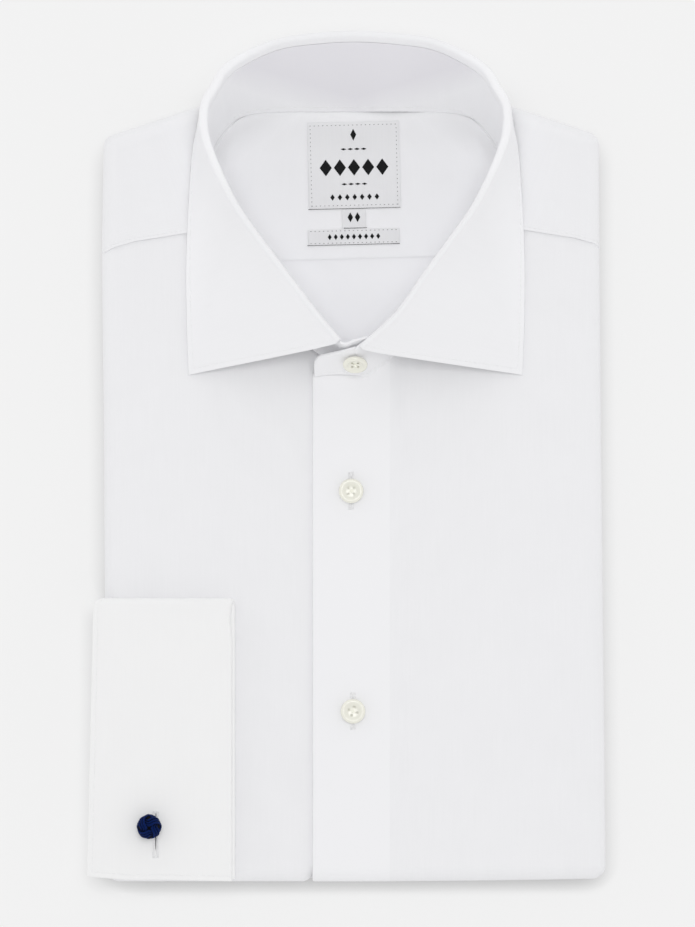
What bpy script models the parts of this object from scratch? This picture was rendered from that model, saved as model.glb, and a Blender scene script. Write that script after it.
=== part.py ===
"""Long sleeve dress shirt, folded flat for display, at its real size.

Sizes and places are in millimetres here, and become metres as each vertex is placed. The origin is on
the table under the middle of the folded shirt: +X to the right of the one who looks down at its front,
+Y towards the collar and +Z up. "Left" and "right" in the names of the fronts are the wearer's, who
faces up out of the table, so the wearer's left front lies at +X.
"""
import math
from collections import namedtuple

import bmesh
import bpy
from mathutils import Vector

MM = 0.001
GAP = 0.3  # between two pieces that touch or are sewn together
SEAM_HALF = 0.2  # from the middle of a slanting seam to each piece's edge

# Folded body
CLOTH = 1.4  # wall of the shirt's cloth
FRONT_TOP = 19.7  # top face of the fronts and the yoke above the table
FRONT_MID = FRONT_TOP - CLOTH / 2
ROLL = 5.5  # radius at which the cloth's middle turns over an edge of the fold
FOLD_IN = ROLL + CLOTH / 2  # from the outline to where the cloth starts to turn
WRAP_END = 9.6  # height where the wrapped cloth goes under, between the folded layers
WRAP_STEPS = (0.0, 2.2, 4.3, 6.5, ROLL * math.pi / 2, ROLL * (math.pi / 2 - 1) + FRONT_MID - WRAP_END)
BOTTOM = -189.1  # the fold at the bottom
BOTTOM_RISE = 1.3  # how much higher that fold lies at its right corner
COLLAR_X = 4.2  # middle of the collar
SHOULDER = 156.2  # top edge beside the collar
SHOULDER_WIDTH = 68.0  # half width at which the shoulders start to slope
SHOULDER_SLOPE = 0.33
SHOULDER_BEND = 16.0  # width over which the top fold's direction turns at the shoulder
Edge = namedtuple("Edge", "y left right")
EDGES = (
    Edge(-190.0, -107.0, 115.7),
    Edge(-55.0, -107.5, 114.3),
    Edge(20.0, -108.0, 113.5),
    Edge(90.0, -108.8, 112.9),
    Edge(157.0, -107.8, 112.6),
)

# Neck: half widths w from the collar's middle
Seam = namedtuple("Seam", "w y")
YOKE_SEAM = (Seam(62.0, 101.4), Seam(74.5, 100.3), Seam(87.0, 98.3), Seam(98.0, 96.6), Seam(112.0, 92.4))
FRONT_NECK = (
    Seam(-20.0, 33.8),
    Seam(-10.0, 36.2),
    Seam(0.0, 36.6),
    Seam(7.0, 38.2),
    Seam(25.0, 52.4),
    Seam(39.0, 67.1),
    Seam(51.0, 82.7),
    Seam(59.0, 94.6),
    Seam(62.0, 101.4),
)
YokeColumn = namedtuple("YokeColumn", "w_low y_low w_high")
YOKE_COLUMNS = (
    YokeColumn(98.0, 96.6, 98.5),
    YokeColumn(87.0, 98.3, 93.5),
    YokeColumn(74.5, 100.3, 89.0),
    YokeColumn(62.0, 101.4, 85.0),
    YokeColumn(66.0, 111.6, 80.0),
    YokeColumn(66.9, 123.2, 75.0),
    YokeColumn(65.6, 131.2, 70.5),
    YokeColumn(62.9, 137.9, 66.0),
    YokeColumn(58.9, 143.4, 60.5),
    YokeColumn(52.9, 149.4, 53.5),
    YokeColumn(43.4, 152.6, 43.5),
    YokeColumn(30.9, 153.2, 31.0),
    YokeColumn(15.5, 153.2, 15.5),
    YokeColumn(0.0, 153.2, 0.0),
)
NECK_SINK = 0.5  # share by which the stack is lower behind the neck
NECK_SINK_WIDTH = 70.0
NECK_SINK_SIDE = 22.0  # widths over which it gets lower, sideways and backwards
NECK_SINK_START = 118.0
NECK_SINK_BACK = 24.0
YOKE_FLAT_ROWS = 6
YOKE_CORNER_IN = 1.0  # how far in the yoke's side fold turns towards the top fold
YOKE_EDGE_ROWS = 0.1  # least share of a column's length that its flat rows take

# Fronts: half widths of the columns of points in their flat stretch, besides the free edge's
FRONT_WIDTHS = (-8.0, 0.0, 7.0, 14.0, 19.6, 23.2, 31.0, 39.0, 45.0, 51.0, 55.0, 59.0, 62.0, 74.5, 87.0, 98.0)
FRONT_ROWS = 10
FIRST_COLUMN = 2.0  # least distance of the next column from the free edge

# Front closure
PLACKET_EDGE = -14.6  # outer fold of the lapping front
PLACKET_WIDTH = 34.0
UNDER_EDGE = PLACKET_EDGE + PLACKET_WIDTH  # free edge of the front below
LAP_RISE = CLOTH + GAP  # the lapping front lies this much higher over the other
LAP_SLOPE = 3.2
FACING_RISE = 0.25  # the folded facing makes the placket this much thicker
LAP_IN = LAP_RISE + 0.2  # the front below turns up this much sooner at the bottom fold
LAP_IN_START = -18.8
LAP_IN_WIDTH = 3.4
LAP_STEPS = tuple(UNDER_EDGE - COLLAR_X + LAP_SLOPE * share for share in (0.0, 0.5, 1.0))
UNDER_NECK_RISE = 2.0  # the front below goes this much higher under the band, over UNDER_NECK_WIDTH
UNDER_NECK_WIDTH = 8.0

# Folded layers: each lip is the edge of one folded layer, then the solid's shoulder under the wrap
Lip = namedtuple("Lip", "bottom top left right end shoulder")
LIPS = (
    Lip(0.0, 3.4, 8.2, 1.6, 0.9, 1.8),
    Lip(3.4, 6.3, 1.0, 0.6, 2.0, 0.8),
    Lip(6.3, 9.1, 0.5, 1.2, 0.5, 1.3),
)
LIP_STEPS = (-1.0, -0.6, 0.0, 0.6, 1.0)  # heights of a lip's rings, from its bottom to its top
LIP_FILL = 0.96  # share of its height that a lip fills, so that the next one starts above it
LIP_GROOVE = 1.6  # depth of the groove between two lips
FOOT_GROOVE = 0.72  # the same where the lowest lip meets the table
CORE_TOP = FRONT_TOP - CLOTH - GAP
CORE_INSET = CLOTH + 1.1
CORE_END_INSET = CORE_INSET + 2.2  # room for the two laps of cloth at the bottom fold
CORE_ROUND = 5.0
CORE_ROUND_STEPS = 3
CORE_CORNER = FOLD_IN + 2.0
CORNER_STEPS = 4
POCKET_FLOOR = 10.3
POCKET_OVER = 10.0  # how far the pocket's cutter goes above the fronts
PocketEdge = namedtuple("PocketEdge", "w y")
POCKET = (
    PocketEdge(0.0, 32.5),
    PocketEdge(9.0, 34.0),
    PocketEdge(27.5, 48.5),
    PocketEdge(42.0, 63.5),
    PocketEdge(54.5, 80.0),
    PocketEdge(66.0, 97.5),
    PocketEdge(70.0, 109.5),
    PocketEdge(71.5, 122.0),
    PocketEdge(71.5, 170.0),
    PocketEdge(0.0, 170.0),
)
INNER_CLOTH = 1.2
INNER_MID = POCKET_FLOOR + 0.5 + INNER_CLOTH / 2
INNER_SEAM = 88.3  # the yoke's seam inside the back
INNER_RISE = 2.4  # how far the inner yoke's rim turns up towards the neck seam
INNER_RISE_LENGTH = 30.0  # over this length from the seam the rim comes up
INNER_RISE_END = 12.0  # over this length at the top it goes down again
INNER_TOP = 153.4
InnerRow = namedtuple("InnerRow", "y half")
INNER_YOKE_ROWS = (
    InnerRow(INNER_SEAM + 0.15, 56.5),
    InnerRow(98.0, 63.5),
    InnerRow(110.0, 68.0),
    InnerRow(123.0, 69.5),
    InnerRow(134.0, 67.0),
    InnerRow(143.0, 62.0),
    InnerRow(149.5, 54.0),
    InnerRow(INNER_TOP, 44.0),
)
INNER_BACK_ROWS = (
    InnerRow(35.0, 9.0),
    InnerRow(49.0, 25.0),
    InnerRow(64.0, 39.0),
    InnerRow(79.0, 50.5),
    InnerRow(INNER_SEAM - 0.15, 56.5),
)

# Collar: one row for each section of its left half, from the middle of the back to the front end.
# neck = seam to the shirt, fold = where the collar turns over, edge = the leaf's free edge
Section = namedtuple("Section", "neck_w neck_y fold_w fold_y fold_z edge_w edge_y edge_z")
SECTIONS = (
    Section(0.0, 154.2, 0.0, 186.2, 34.0, 0.0, 163.4, 1.5),
    Section(15.8, 154.2, 16.3, 185.3, 34.3, 15.8, 163.2, 1.5),
    Section(31.2, 154.2, 32.6, 182.9, 36.0, 32.3, 162.6, 1.5),
    Section(44.2, 153.5, 45.4, 177.6, 39.0, 46.9, 161.9, 1.5),
    Section(53.8, 150.3, 56.2, 171.5, 43.0, 59.0, 161.4, 1.9),
    Section(59.9, 144.2, 63.1, 162.8, 47.5, 66.9, 160.0, 6.0),
    Section(63.9, 138.3, 65.6, 155.6, 51.5, 69.2, 155.2, 20.2),
    Section(66.6, 131.3, 66.0, 146.3, 54.5, 70.5, 146.2, 21.0),
    Section(67.9, 123.2, 63.6, 137.4, 56.0, 71.9, 136.6, 21.0),
    Section(67.0, 111.5, 58.2, 124.5, 56.0, 73.4, 118.7, 21.0),
    Section(61.6, 96.9, 50.7, 110.2, 54.5, 74.5, 98.7, 21.0),
    Section(51.8, 82.2, 41.0, 96.3, 51.5, 75.0, 78.7, 21.0),
    Section(39.7, 66.5, 29.6, 81.1, 48.5, 74.8, 60.0, 21.0),
    Section(25.7, 51.7, 17.6, 65.0, 45.5, 74.4, 45.8, 21.0),
    Section(7.4, 37.6, 6.4, 51.1, 42.0, 74.1, 36.4, 21.0),
)
Lap = namedtuple("Lap", "under over")
LAPS = (Lap(0.0, 0.0), Lap(0.2, -0.3), Lap(0.5, -1.0), Lap(1.2, -1.6))  # last sections, moved along y
BAND = 1.6
BAND_SEAT = 2.0  # from the shirt's cloth to the middle of the band's lower edge
BAND_OUT = 0.6  # how far that edge lies outside the neck seam
BAND_SEAM = 0.6  # from the band's upper edge to the leaf's, along the stand
BAND_COLUMNS = 54
BAND_ROWS = 4
LEAF = 1.4
LEAF_ROLL = 1.3  # radius of the leaf's fold
LEAF_LEAVE = 0.25  # how straight the leaf falls from its fold, as a share of its width
LEAF_LEVEL = 0.4  # how level it arrives at its free edge, 0 for straight and 1 for level
STAND_RISE_BACK = 2.5  # the leaf rises this much above the band's seam before it turns
STAND_RISE_FRONT = 1.2
BandEnd = namedtuple("BandEnd", "neck_x neck_y neck_z top_x top_y top_z")
UNDER_END = (
    BandEnd(19.5, 48.2, 24.0, 15.2, 59.0, 38.0),
    BandEnd(17.5, 46.2, 22.0, 13.6, 58.0, 42.0),
    BandEnd(10.0, 41.2, 21.6, 7.6, 53.4, 41.0),
    BandEnd(3.0, 39.2, 21.5, 2.0, 51.6, 40.6),
)
OVER_END = (
    BandEnd(2.0, 35.6, 23.4, 2.0, 47.4, 40.4),
    BandEnd(-8.0, 35.4, 23.4, -8.0, 46.0, 38.6),
    BandEnd(-12.2, 35.0, 23.4, -12.2, 44.6, 36.4),
    BandEnd(-13.9, 35.4, 24.8, -13.9, 41.6, 32.6),
)

# Cuff, folded back on itself, and the sleeve that enters it
CUFF_WALL = 1.3
CUFF_TOP_END = -63.4  # crease of the flattened cuff
CUFF_BOTTOM_END = -187.6  # its two open ends, one on the other
CUFF_LEFT_TOP = -112.3
CUFF_LEFT_BOTTOM = -115.1
CUFF_RIGHT = -51.3  # the fold at the wrist
CUFF_UNDER_RIGHT = -49.9  # fold of the lower half, which shows past the upper one
CUFF_UNDER_LEFT = -102.6
CUFF_SEAM = -103.8  # where the sleeve enters
CUFF_INNER = 0.85  # middle of the inner layer from the cuff's middle plane
CUFF_OUTER = 2.55
CUFF_MID = FRONT_TOP + GAP + CUFF_OUTER + CUFF_WALL / 2
SLOT_X = -84.6
SLOT_Y = -167.6
SLOT_LENGTH = 21.0
SLOT_WIDTH = 2.4
SLOT_CUT = 8.0
SLEEVE_WALL = 3.0  # two flattened layers
SLEEVE_TOP = -66.2
SLEEVE_BOTTOM = -186.0
SLEEVE_TURN = 5.3
SLEEVE_X = -109.9  # middle of the sleeve where it hangs beside the body
SLEEVE_TUCK = 4.4  # radius at which it turns under
SLEEVE_END = -101.2
SLEEVE_START = CUFF_SEAM - GAP - 0.2
SLEEVE_FLOOR = SLEEVE_WALL / 2

# Silk knot
KNOT_X = -87.5
KNOT_Y = -164.0
KNOT_RADIUS = 5.65
KNOT_HEIGHT = 9.4
KNOT_STEM = 0.9
KNOT_STEM_LOW = CUFF_MID + 0.3

# Buttons
BUTTON_HOLE = 0.75
BUTTON_HOLE_PLACE = 1.35  # from the button's middle to each of its four holes
BUTTON_CUT = 10.0
ButtonPoint = namedtuple("ButtonPoint", "radius height")
BUTTON_PROFILE = (
    ButtonPoint(0.0, 1.6),
    ButtonPoint(2.9, 1.6),
    ButtonPoint(3.5, 1.9),
    ButtonPoint(4.3, 2.4),
    ButtonPoint(5.0, 2.4),
    ButtonPoint(5.6, 1.9),
    ButtonPoint(5.7, 1.3),
    ButtonPoint(5.1, 0.4),
    ButtonPoint(3.6, 0.0),
    ButtonPoint(0.0, 0.0),
)
FrontButton = namedtuple("FrontButton", "name x y turn")
FRONT_BUTTONS = (
    FrontButton("button_front_1", 2.3, -15.2, 0.0),
    FrontButton("button_front_2", 3.1, -113.2, math.radians(27)),
)
COLLAR_BUTTON = Vector((4.1, 41.3, 34.6))
COLLAR_BUTTON_TILT = math.radians(55)

# Labels on the inner yoke
LABEL = 1.0
Label = namedtuple("Label", "name left right low high")
LABELS = (
    Label("label_main", -16.9, 24.0, 110.7, 149.2),
    Label("label_size", -1.8, 8.9, 102.0, 110.3),
    Label("label_lower", -16.9, 24.0, 94.6, 101.6),
)

# Finishes
WHITE = (0.86, 0.86, 0.88, 1.0)
CREAM = (0.80, 0.79, 0.68, 1.0)
NAVY = (0.006, 0.012, 0.055, 1.0)
LABEL_GREY = (0.74, 0.74, 0.77, 1.0)


# ---------------------------------------------------------------- helpers


def clear_scene():
    for obj in list(bpy.data.objects):
        bpy.data.objects.remove(obj)


def collection(name):
    made = bpy.data.collections.new(name)
    bpy.context.scene.collection.children.link(made)
    return made


def finish(name, colour, roughness):
    """A Principled material."""
    material = bpy.data.materials.new(name)
    material.use_nodes = True
    shader = material.node_tree.nodes["Principled BSDF"]
    shader.inputs["Base Color"].default_value = colour
    shader.inputs["Roughness"].default_value = roughness
    shader.inputs["Metallic"].default_value = 0.0
    return material


def place(name, bm, group, material=None):
    """The object that holds a bmesh."""
    mesh = bpy.data.meshes.new(name)
    bm.to_mesh(mesh)
    bm.free()
    obj = bpy.data.objects.new(name, mesh)
    group.objects.link(obj)
    if material:
        mesh.materials.append(material)
    mesh.shade_smooth()
    mesh.set_sharp_from_angle(angle=math.radians(40))
    return obj


def cloth(name, columns, rows, where, wall, group, material):
    """A cloth wall: a grid whose point in column i and row j lies at where(i, j)."""
    bm = bmesh.new()
    bmesh.ops.create_grid(bm, x_segments=columns, y_segments=rows, size=0.5)
    for vertex in bm.verts:
        i = round((vertex.co.x + 0.5) * columns)
        j = round((vertex.co.y + 0.5) * rows)
        vertex.co = Vector(where(i, j)) * MM
    obj = place(name, bm, group, material)
    solidify = obj.modifiers.new("Wall", "SOLIDIFY")
    solidify.thickness = wall * MM
    solidify.offset = 0.0
    return obj


def loft(name, rings, group, material=None):
    """A closed solid through rings of equally many points, the lowest ring first."""
    bm = bmesh.new()
    loops = [[bm.verts.new(Vector(point) * MM) for point in ring] for ring in rings]
    count = len(rings[0])
    for low, high in zip(loops, loops[1:]):
        for k in range(count):
            bm.faces.new((low[k], low[(k + 1) % count], high[(k + 1) % count], high[k]))
    bm.faces.new(list(reversed(loops[0])))
    bm.faces.new(loops[-1])
    return place(name, bm, group, material)


def boolean(obj, other, operation):
    modifier = obj.modifiers.new(operation.title(), "BOOLEAN")
    modifier.object = other
    modifier.operation = operation
    modifier.solver = "EXACT"
    other.hide_render = True
    other.display_type = "WIRE"


def smooth(t):
    """0 to 1 with level ends."""
    t = min(max(t, 0.0), 1.0)
    return t * t * (3.0 - 2.0 * t)


def between(a, b, t):
    return a + (b - a) * t


def read(table, key, value, x):
    """The value column of a table at x, straight between its rows, in order of the key column."""
    keys = [getattr(row, key) for row in table]
    values = [getattr(row, value) for row in table]
    if x <= keys[0]:
        return values[0]
    for k in range(1, len(table)):
        if x <= keys[k]:
            return between(values[k - 1], values[k], (x - keys[k - 1]) / (keys[k] - keys[k - 1]))
    return values[-1]


def spline(points, t):
    """The point at t, 0 to 1, of a smooth curve through the points."""
    s = t * (len(points) - 1)
    k = min(int(s), len(points) - 2)
    f = s - k
    p1, p2 = points[k], points[k + 1]
    p0 = points[k - 1] if k else p1 * 2 - p2
    p3 = points[k + 2] if k + 2 < len(points) else p2 * 2 - p1
    return (
        p1 * 2 + (p2 - p0) * f + (p0 * 2 - p1 * 5 + p2 * 4 - p3) * f**2 + (p1 * 3 - p0 - p2 * 3 + p3) * f**3
    ) * 0.5


# ---------------------------------------------------------------- the folded outline


def edge_x(side, y):
    """The outline's x at its left (-1) or right (+1) edge."""
    return read(EDGES, "y", "left" if side < 0 else "right", y)


def bottom_y(x):
    return BOTTOM + BOTTOM_RISE * max(0.0, x / EDGES[0].right) ** 2


def shoulder_slope(w):
    return SHOULDER_SLOPE * smooth((w - SHOULDER_WIDTH) / SHOULDER_BEND + 0.5)


def shoulder_y(x):
    return SHOULDER - SHOULDER_SLOPE * max(0.0, abs(x - COLLAR_X) - SHOULDER_WIDTH)


def sink(x, y, z):
    """The height z, lowered behind the neck, where fewer layers lie under the collar."""
    w = abs(x - COLLAR_X)
    sideways = smooth((NECK_SINK_WIDTH - w) / NECK_SINK_SIDE)
    share = NECK_SINK * sideways * smooth((y - NECK_SINK_START) / NECK_SINK_BACK)
    return WRAP_END + (z - WRAP_END) * (1.0 - share) if z > WRAP_END else z


def top_z(x, y):
    """The top face of the shirt's cloth at x, y."""
    over = y - (shoulder_y(x) - FOLD_IN)
    drop = FOLD_IN - math.sqrt(max(FOLD_IN**2 - max(over, 0.0) ** 2, 0.0))
    return sink(x, y, FRONT_TOP - drop)


def wrapped(x, y, z, side_past, end_past, side, end):
    """The point of a cloth that goes side_past over the side fold and end_past over the end fold.

    Where it goes over both, the corner is turned in a fan, so that it stays round and has no pleat.
    """
    past = max(side_past, end_past)
    if past <= 0.0:
        return Vector((x, y, z))
    share = 0.5 * end_past / side_past if side_past >= end_past else 1.0 - 0.5 * side_past / end_past
    towards = Vector((side, 0.0, 0.0)).slerp(end, share)
    turn = min(past / ROLL, math.pi / 2)
    down = ROLL * (1.0 - math.cos(turn)) + max(0.0, past - ROLL * math.pi / 2)
    return Vector((x, y, z - down)) + towards * (ROLL * math.sin(turn))


# ---------------------------------------------------------------- body


def side_seam_y(side, past):
    """The yoke seam's y where the cloth has gone past over the fold at its side."""
    flat = abs(edge_x(side, YOKE_SEAM[-1].y) - COLLAR_X) - FOLD_IN
    return read(YOKE_SEAM, "w", "y", flat + past)


def front_panel(name, side, inner, neck, lap, group, material):
    """One front, from its free edge at x = inner to where it goes under at its side and bottom folds."""
    free = (inner - COLLAR_X) * side
    flats = [free] + sorted(w for w in FRONT_WIDTHS + (LAP_STEPS if lap else ()) if w > free + FIRST_COLUMN)
    wraps = len(WRAP_STEPS) - 1

    def where(i, j):
        end_past = WRAP_STEPS[max(0, j - FRONT_ROWS)]
        share = min(j, FRONT_ROWS) / FRONT_ROWS
        if i < len(flats):
            side_past = 0.0
            x = COLLAR_X + side * flats[i]
            high = neck(flats[i])
        else:
            side_past = WRAP_STEPS[i - len(flats)]
            x = edge_x(side, BOTTOM)
            high = side_seam_y(side, side_past) - SEAM_HALF
        low = bottom_y(x) + FOLD_IN + (0.0 if lap else lap_in(x))
        y = between(high, low, share)
        if i >= len(flats):
            x = edge_x(side, y) - side * FOLD_IN
        z = FRONT_MID + (lap_rise(x) if lap else 0.0)
        return wrapped(x, y, z, side_past, end_past, side, Vector((0.0, -1.0, 0.0)))

    cloth(name, len(flats) + wraps, FRONT_ROWS + wraps, where, CLOTH, group, material)


def lap_rise(x):
    """How much higher the lapping front lies at x."""
    return (LAP_RISE + FACING_RISE) * (1.0 - smooth((x - UNDER_EDGE - GAP) / LAP_SLOPE))


def lap_in(x):
    """How far the bottom fold of the front below draws in, to lie inside the lapping front's."""
    return LAP_IN * smooth((x - LAP_IN_START) / LAP_IN_WIDTH)


def neck_or_seam(w, rise=0.0):
    """The front's top edge at half width w."""
    if w >= YOKE_SEAM[0].w:
        return read(YOKE_SEAM, "w", "y", w) - SEAM_HALF
    return read(FRONT_NECK, "w", "y", w) + rise


def make_fronts(group, material):
    def under_neck(w):
        return neck_or_seam(abs(w), UNDER_NECK_RISE * smooth(1.0 - w / UNDER_NECK_WIDTH))

    front_panel("front_left", 1, PLACKET_EDGE, neck_or_seam, True, group, material)
    front_panel("front_right", -1, UNDER_EDGE, under_neck, False, group, material)


def make_yoke_outer(group, material):
    """Both shoulder flaps, wrapped over the top edge and joined behind the neck."""
    wraps = len(WRAP_STEPS) - 1
    length = WRAP_STEPS[-1]
    half = [(past, None) for past in reversed(WRAP_STEPS)] + [(0.0, row) for row in YOKE_COLUMNS]
    order = [(-1, *column) for column in half] + [(1, *column) for column in reversed(half[:-1])]

    def where(i, j):
        side, side_past, row = order[i]
        if row is None:
            low = side_seam_y(side, side_past) + SEAM_HALF
            corner_y = shoulder_y(edge_x(side, SHOULDER)) - FOLD_IN + YOKE_CORNER_IN
            x_low = edge_x(side, low) - side * FOLD_IN
            x_high = edge_x(side, corner_y) - side * FOLD_IN
        else:
            low = row.y_low + (SEAM_HALF if row.y_low <= YOKE_SEAM[0].y else 0.0)
            x_low = COLLAR_X + side * row.w_low
            x_high = COLLAR_X + side * row.w_high
        flat = shoulder_y(x_high) - FOLD_IN
        turn = max(flat, low + YOKE_EDGE_ROWS * (flat + length - low))
        if j <= YOKE_FLAT_ROWS:
            along = between(low, turn, j / YOKE_FLAT_ROWS)
        else:
            along = turn + (flat + length - turn) * WRAP_STEPS[j - YOKE_FLAT_ROWS] / length
        y = min(along, flat)
        x = between(x_low, x_high, (y - low) / (flat - low)) if flat > low else x_high
        end = Vector((side * shoulder_slope(abs(x_high - COLLAR_X)), 1.0, 0.0)).normalized()
        point = wrapped(x, y, FRONT_MID, side_past, max(along - flat, 0.0), side, end)
        point.z = sink(point.x, point.y, point.z)
        return point

    cloth("yoke_outer", len(order) - 1, YOKE_FLAT_ROWS + wraps, where, CLOTH, group, material)


def inner_sheet(name, table, rise, group, material):
    """A layer seen through the neck, level but for the rim that turns up to the neck seam."""
    columns = 16

    def where(i, j):
        row = table[j]
        u = between(-1.0, 1.0, i / columns)
        start = smooth((row.y - INNER_SEAM) / INNER_RISE_LENGTH)
        up = rise * start * abs(u) ** 10 * smooth((INNER_TOP - row.y) / INNER_RISE_END)
        return COLLAR_X + u * row.half, row.y, INNER_MID + up

    cloth(name, columns, len(table) - 1, where, INNER_CLOTH, group, material)


def outline_ring(left, right, end, top, z):
    """The folded outline moved in by left, right, end (bottom) and top (shoulders), with round corners."""
    xl, xr = edge_x(-1, BOTTOM) + left, edge_x(1, BOTTOM) - right
    xsl, xsr = edge_x(-1, SHOULDER) + left, edge_x(1, SHOULDER) - right
    corners = [
        Vector((xl, BOTTOM + end, z)),
        Vector((xr, bottom_y(xr) + end, z)),
        Vector((xsr, shoulder_y(xsr) - top, z)),
        Vector((COLLAR_X + SHOULDER_WIDTH, SHOULDER - top, z)),
        Vector((COLLAR_X - SHOULDER_WIDTH, SHOULDER - top, z)),
        Vector((xsl, shoulder_y(xsl) - top, z)),
    ]
    round_corners = (0, 1, 2, 5)
    ring = []
    for k, point in enumerate(corners):
        before, after = corners[k - 1], corners[(k + 1) % len(corners)]
        if k not in round_corners:
            ring.append(point)
        else:
            a = (before - point).normalized() * CORE_CORNER
            b = (after - point).normalized() * CORE_CORNER
            for step in range(CORNER_STEPS + 1):
                t = step / CORNER_STEPS
                ring.append(point + a * (1 - t) ** 2 + b * t**2)
        if k in (1, 5):
            side, inset = (1, -right) if k == 1 else (-1, left)
            heights = [row.y for row in EDGES[1:-1]]
            for y in heights if side > 0 else reversed(heights):
                ring.append(Vector((edge_x(side, y) + inset, y, z)))
    return ring


def make_folded_layers(group, cutters, material):
    """The hidden layers in one solid: rounded lips at its edges, a pocket where the neck is open."""
    rings = []
    for lip in LIPS:
        middle = (lip.bottom + lip.top) / 2
        half = (lip.top - lip.bottom) / 2
        for t in LIP_STEPS:
            back = LIP_GROOVE * (1.0 - math.sqrt(max(1.0 - t * t, 0.0)))
            z = middle + half * t * LIP_FILL
            if not rings:
                back, z = FOOT_GROOVE, lip.bottom
            insets = [value + back for value in (lip.left, lip.right, lip.end, lip.shoulder)]
            rings.append(outline_ring(*insets, z))
    waist = (CORE_INSET, CORE_INSET, CORE_END_INSET, CORE_INSET)
    rings.append(outline_ring(*waist, LIPS[-1].top))
    for step in range(CORE_ROUND_STEPS + 1):
        turn = math.pi / 2 * step / CORE_ROUND_STEPS
        back = CORE_ROUND * (1.0 - math.cos(turn))
        z = CORE_TOP - CORE_ROUND * (1.0 - math.sin(turn))
        rings.append(outline_ring(*[value + back for value in waist], z))
    core = loft("folded_layers", rings, group, material)
    border = [(COLLAR_X + p.w, p.y) for p in POCKET]
    border += [(COLLAR_X - p.w, p.y) for p in reversed(POCKET[1:-1])]
    pocket = loft(
        "pocket_cutter",
        [[(x, y, z) for x, y in border] for z in (POCKET_FLOOR, FRONT_TOP + POCKET_OVER)],
        cutters,
    )
    boolean(core, pocket, "DIFFERENCE")


# ---------------------------------------------------------------- collar


def collar_sections():
    """Neck seam, fold and leaf edge of every section, from the under end round the back to the over end."""
    sections = []
    count = len(SECTIONS)
    for side, order in ((-1, range(count - 1, -1, -1)), (1, range(1, count))):
        for k in order:
            row = SECTIONS[k]
            late = k - (count - len(LAPS))
            shift = (LAPS[late].under if side < 0 else LAPS[late].over) if late > 0 else 0.0
            neck_x = COLLAR_X + side * row.neck_w
            lap_z = lap_rise(neck_x) if side > 0 else 0.0
            neck = Vector((neck_x, row.neck_y + shift, top_z(neck_x, row.neck_y) + lap_z))
            fold = Vector((COLLAR_X + side * row.fold_w, row.fold_y + shift, row.fold_z))
            edge = Vector((COLLAR_X + side * row.edge_w, row.edge_y, row.edge_z))
            sections.append((neck, fold, edge, k / (count - 1)))
    return sections


def collar_frame(sections, t):
    """At t along the collar: the neck and fold points, and the directions up the band and outwards."""
    necks, folds, edges, ages = zip(*sections)
    neck, fold, edge = spline(necks, t), spline(folds, t), spline(edges, t)
    step = 0.01
    along = spline(folds, min(t + step, 1.0)) - spline(folds, max(t - step, 0.0))
    up = (fold - neck).normalized()
    out = up.cross(along).normalized()
    k = t * (len(ages) - 1)
    age = between(ages[int(k)], ages[min(int(k) + 1, len(ages) - 1)], k - int(k))
    rise = between(STAND_RISE_BACK, STAND_RISE_FRONT, smooth(age))
    return neck, fold, edge, up, out, rise


def make_collar_band(group, material):
    """The stand: a ring on the neck seam whose two ends lap at the front."""
    sections = collar_sections()
    count = len(sections)
    lows, tops = [], []
    for row in UNDER_END:
        lows.append(Vector((row.neck_x, row.neck_y, row.neck_z)))
        tops.append(Vector((row.top_x, row.top_y, row.top_z)))
    for k in range(count):
        neck, fold, _, up, out, rise = collar_frame(sections, k / (count - 1))
        lows.append(neck + up * BAND_SEAT + out * BAND_OUT)
        tops.append(fold + out * (LEAF / 2) - up * (rise + BAND_SEAM))
    for row in OVER_END:
        lows.append(Vector((row.neck_x, row.neck_y, row.neck_z)))
        tops.append(Vector((row.top_x, row.top_y, row.top_z)))

    def where(i, j):
        t = i / BAND_COLUMNS
        return spline(lows, t).lerp(spline(tops, t), j / BAND_ROWS)

    cloth("collar_band", BAND_COLUMNS, BAND_ROWS, where, BAND, group, material)


def make_collar_leaf(group, material):
    """The turned-down collar: up from the band's seam, over the fold and out to the points."""
    sections = collar_sections()
    columns = 48
    rise_rows, fold_rows, fall_rows = 1, 4, 6
    rows = rise_rows + fold_rows + fall_rows

    def where(i, j):
        _, fold, edge, up, out, rise = collar_frame(sections, i / columns)
        inner = fold + out * (LEAF / 2)
        if j < rise_rows:
            return inner - up * rise * (1.0 - j / rise_rows)
        if j <= rise_rows + fold_rows:
            turn = math.pi * (j - rise_rows) / fold_rows
            return inner + out * LEAF_ROLL * (1.0 - math.cos(turn)) + up * LEAF_ROLL * math.sin(turn)
        start = inner + out * 2.0 * LEAF_ROLL
        t = (j - rise_rows - fold_rows) / fall_rows
        fall = edge - start
        leave = -up * fall.length * LEAF_LEAVE
        level = LEAF_LEVEL if edge.z > FRONT_TOP else 0.0
        arrive = Vector((fall.x, fall.y, fall.z * (1.0 - level)))
        return (
            start * (2 * t**3 - 3 * t**2 + 1)
            + leave * (t**3 - 2 * t**2 + t)
            + edge * (3 * t**2 - 2 * t**3)
            + arrive * (t**3 - t**2)
        )

    cloth("collar_leaf", columns, rows, where, LEAF, group, material)


# ---------------------------------------------------------------- cuff, sleeve and knot


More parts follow.
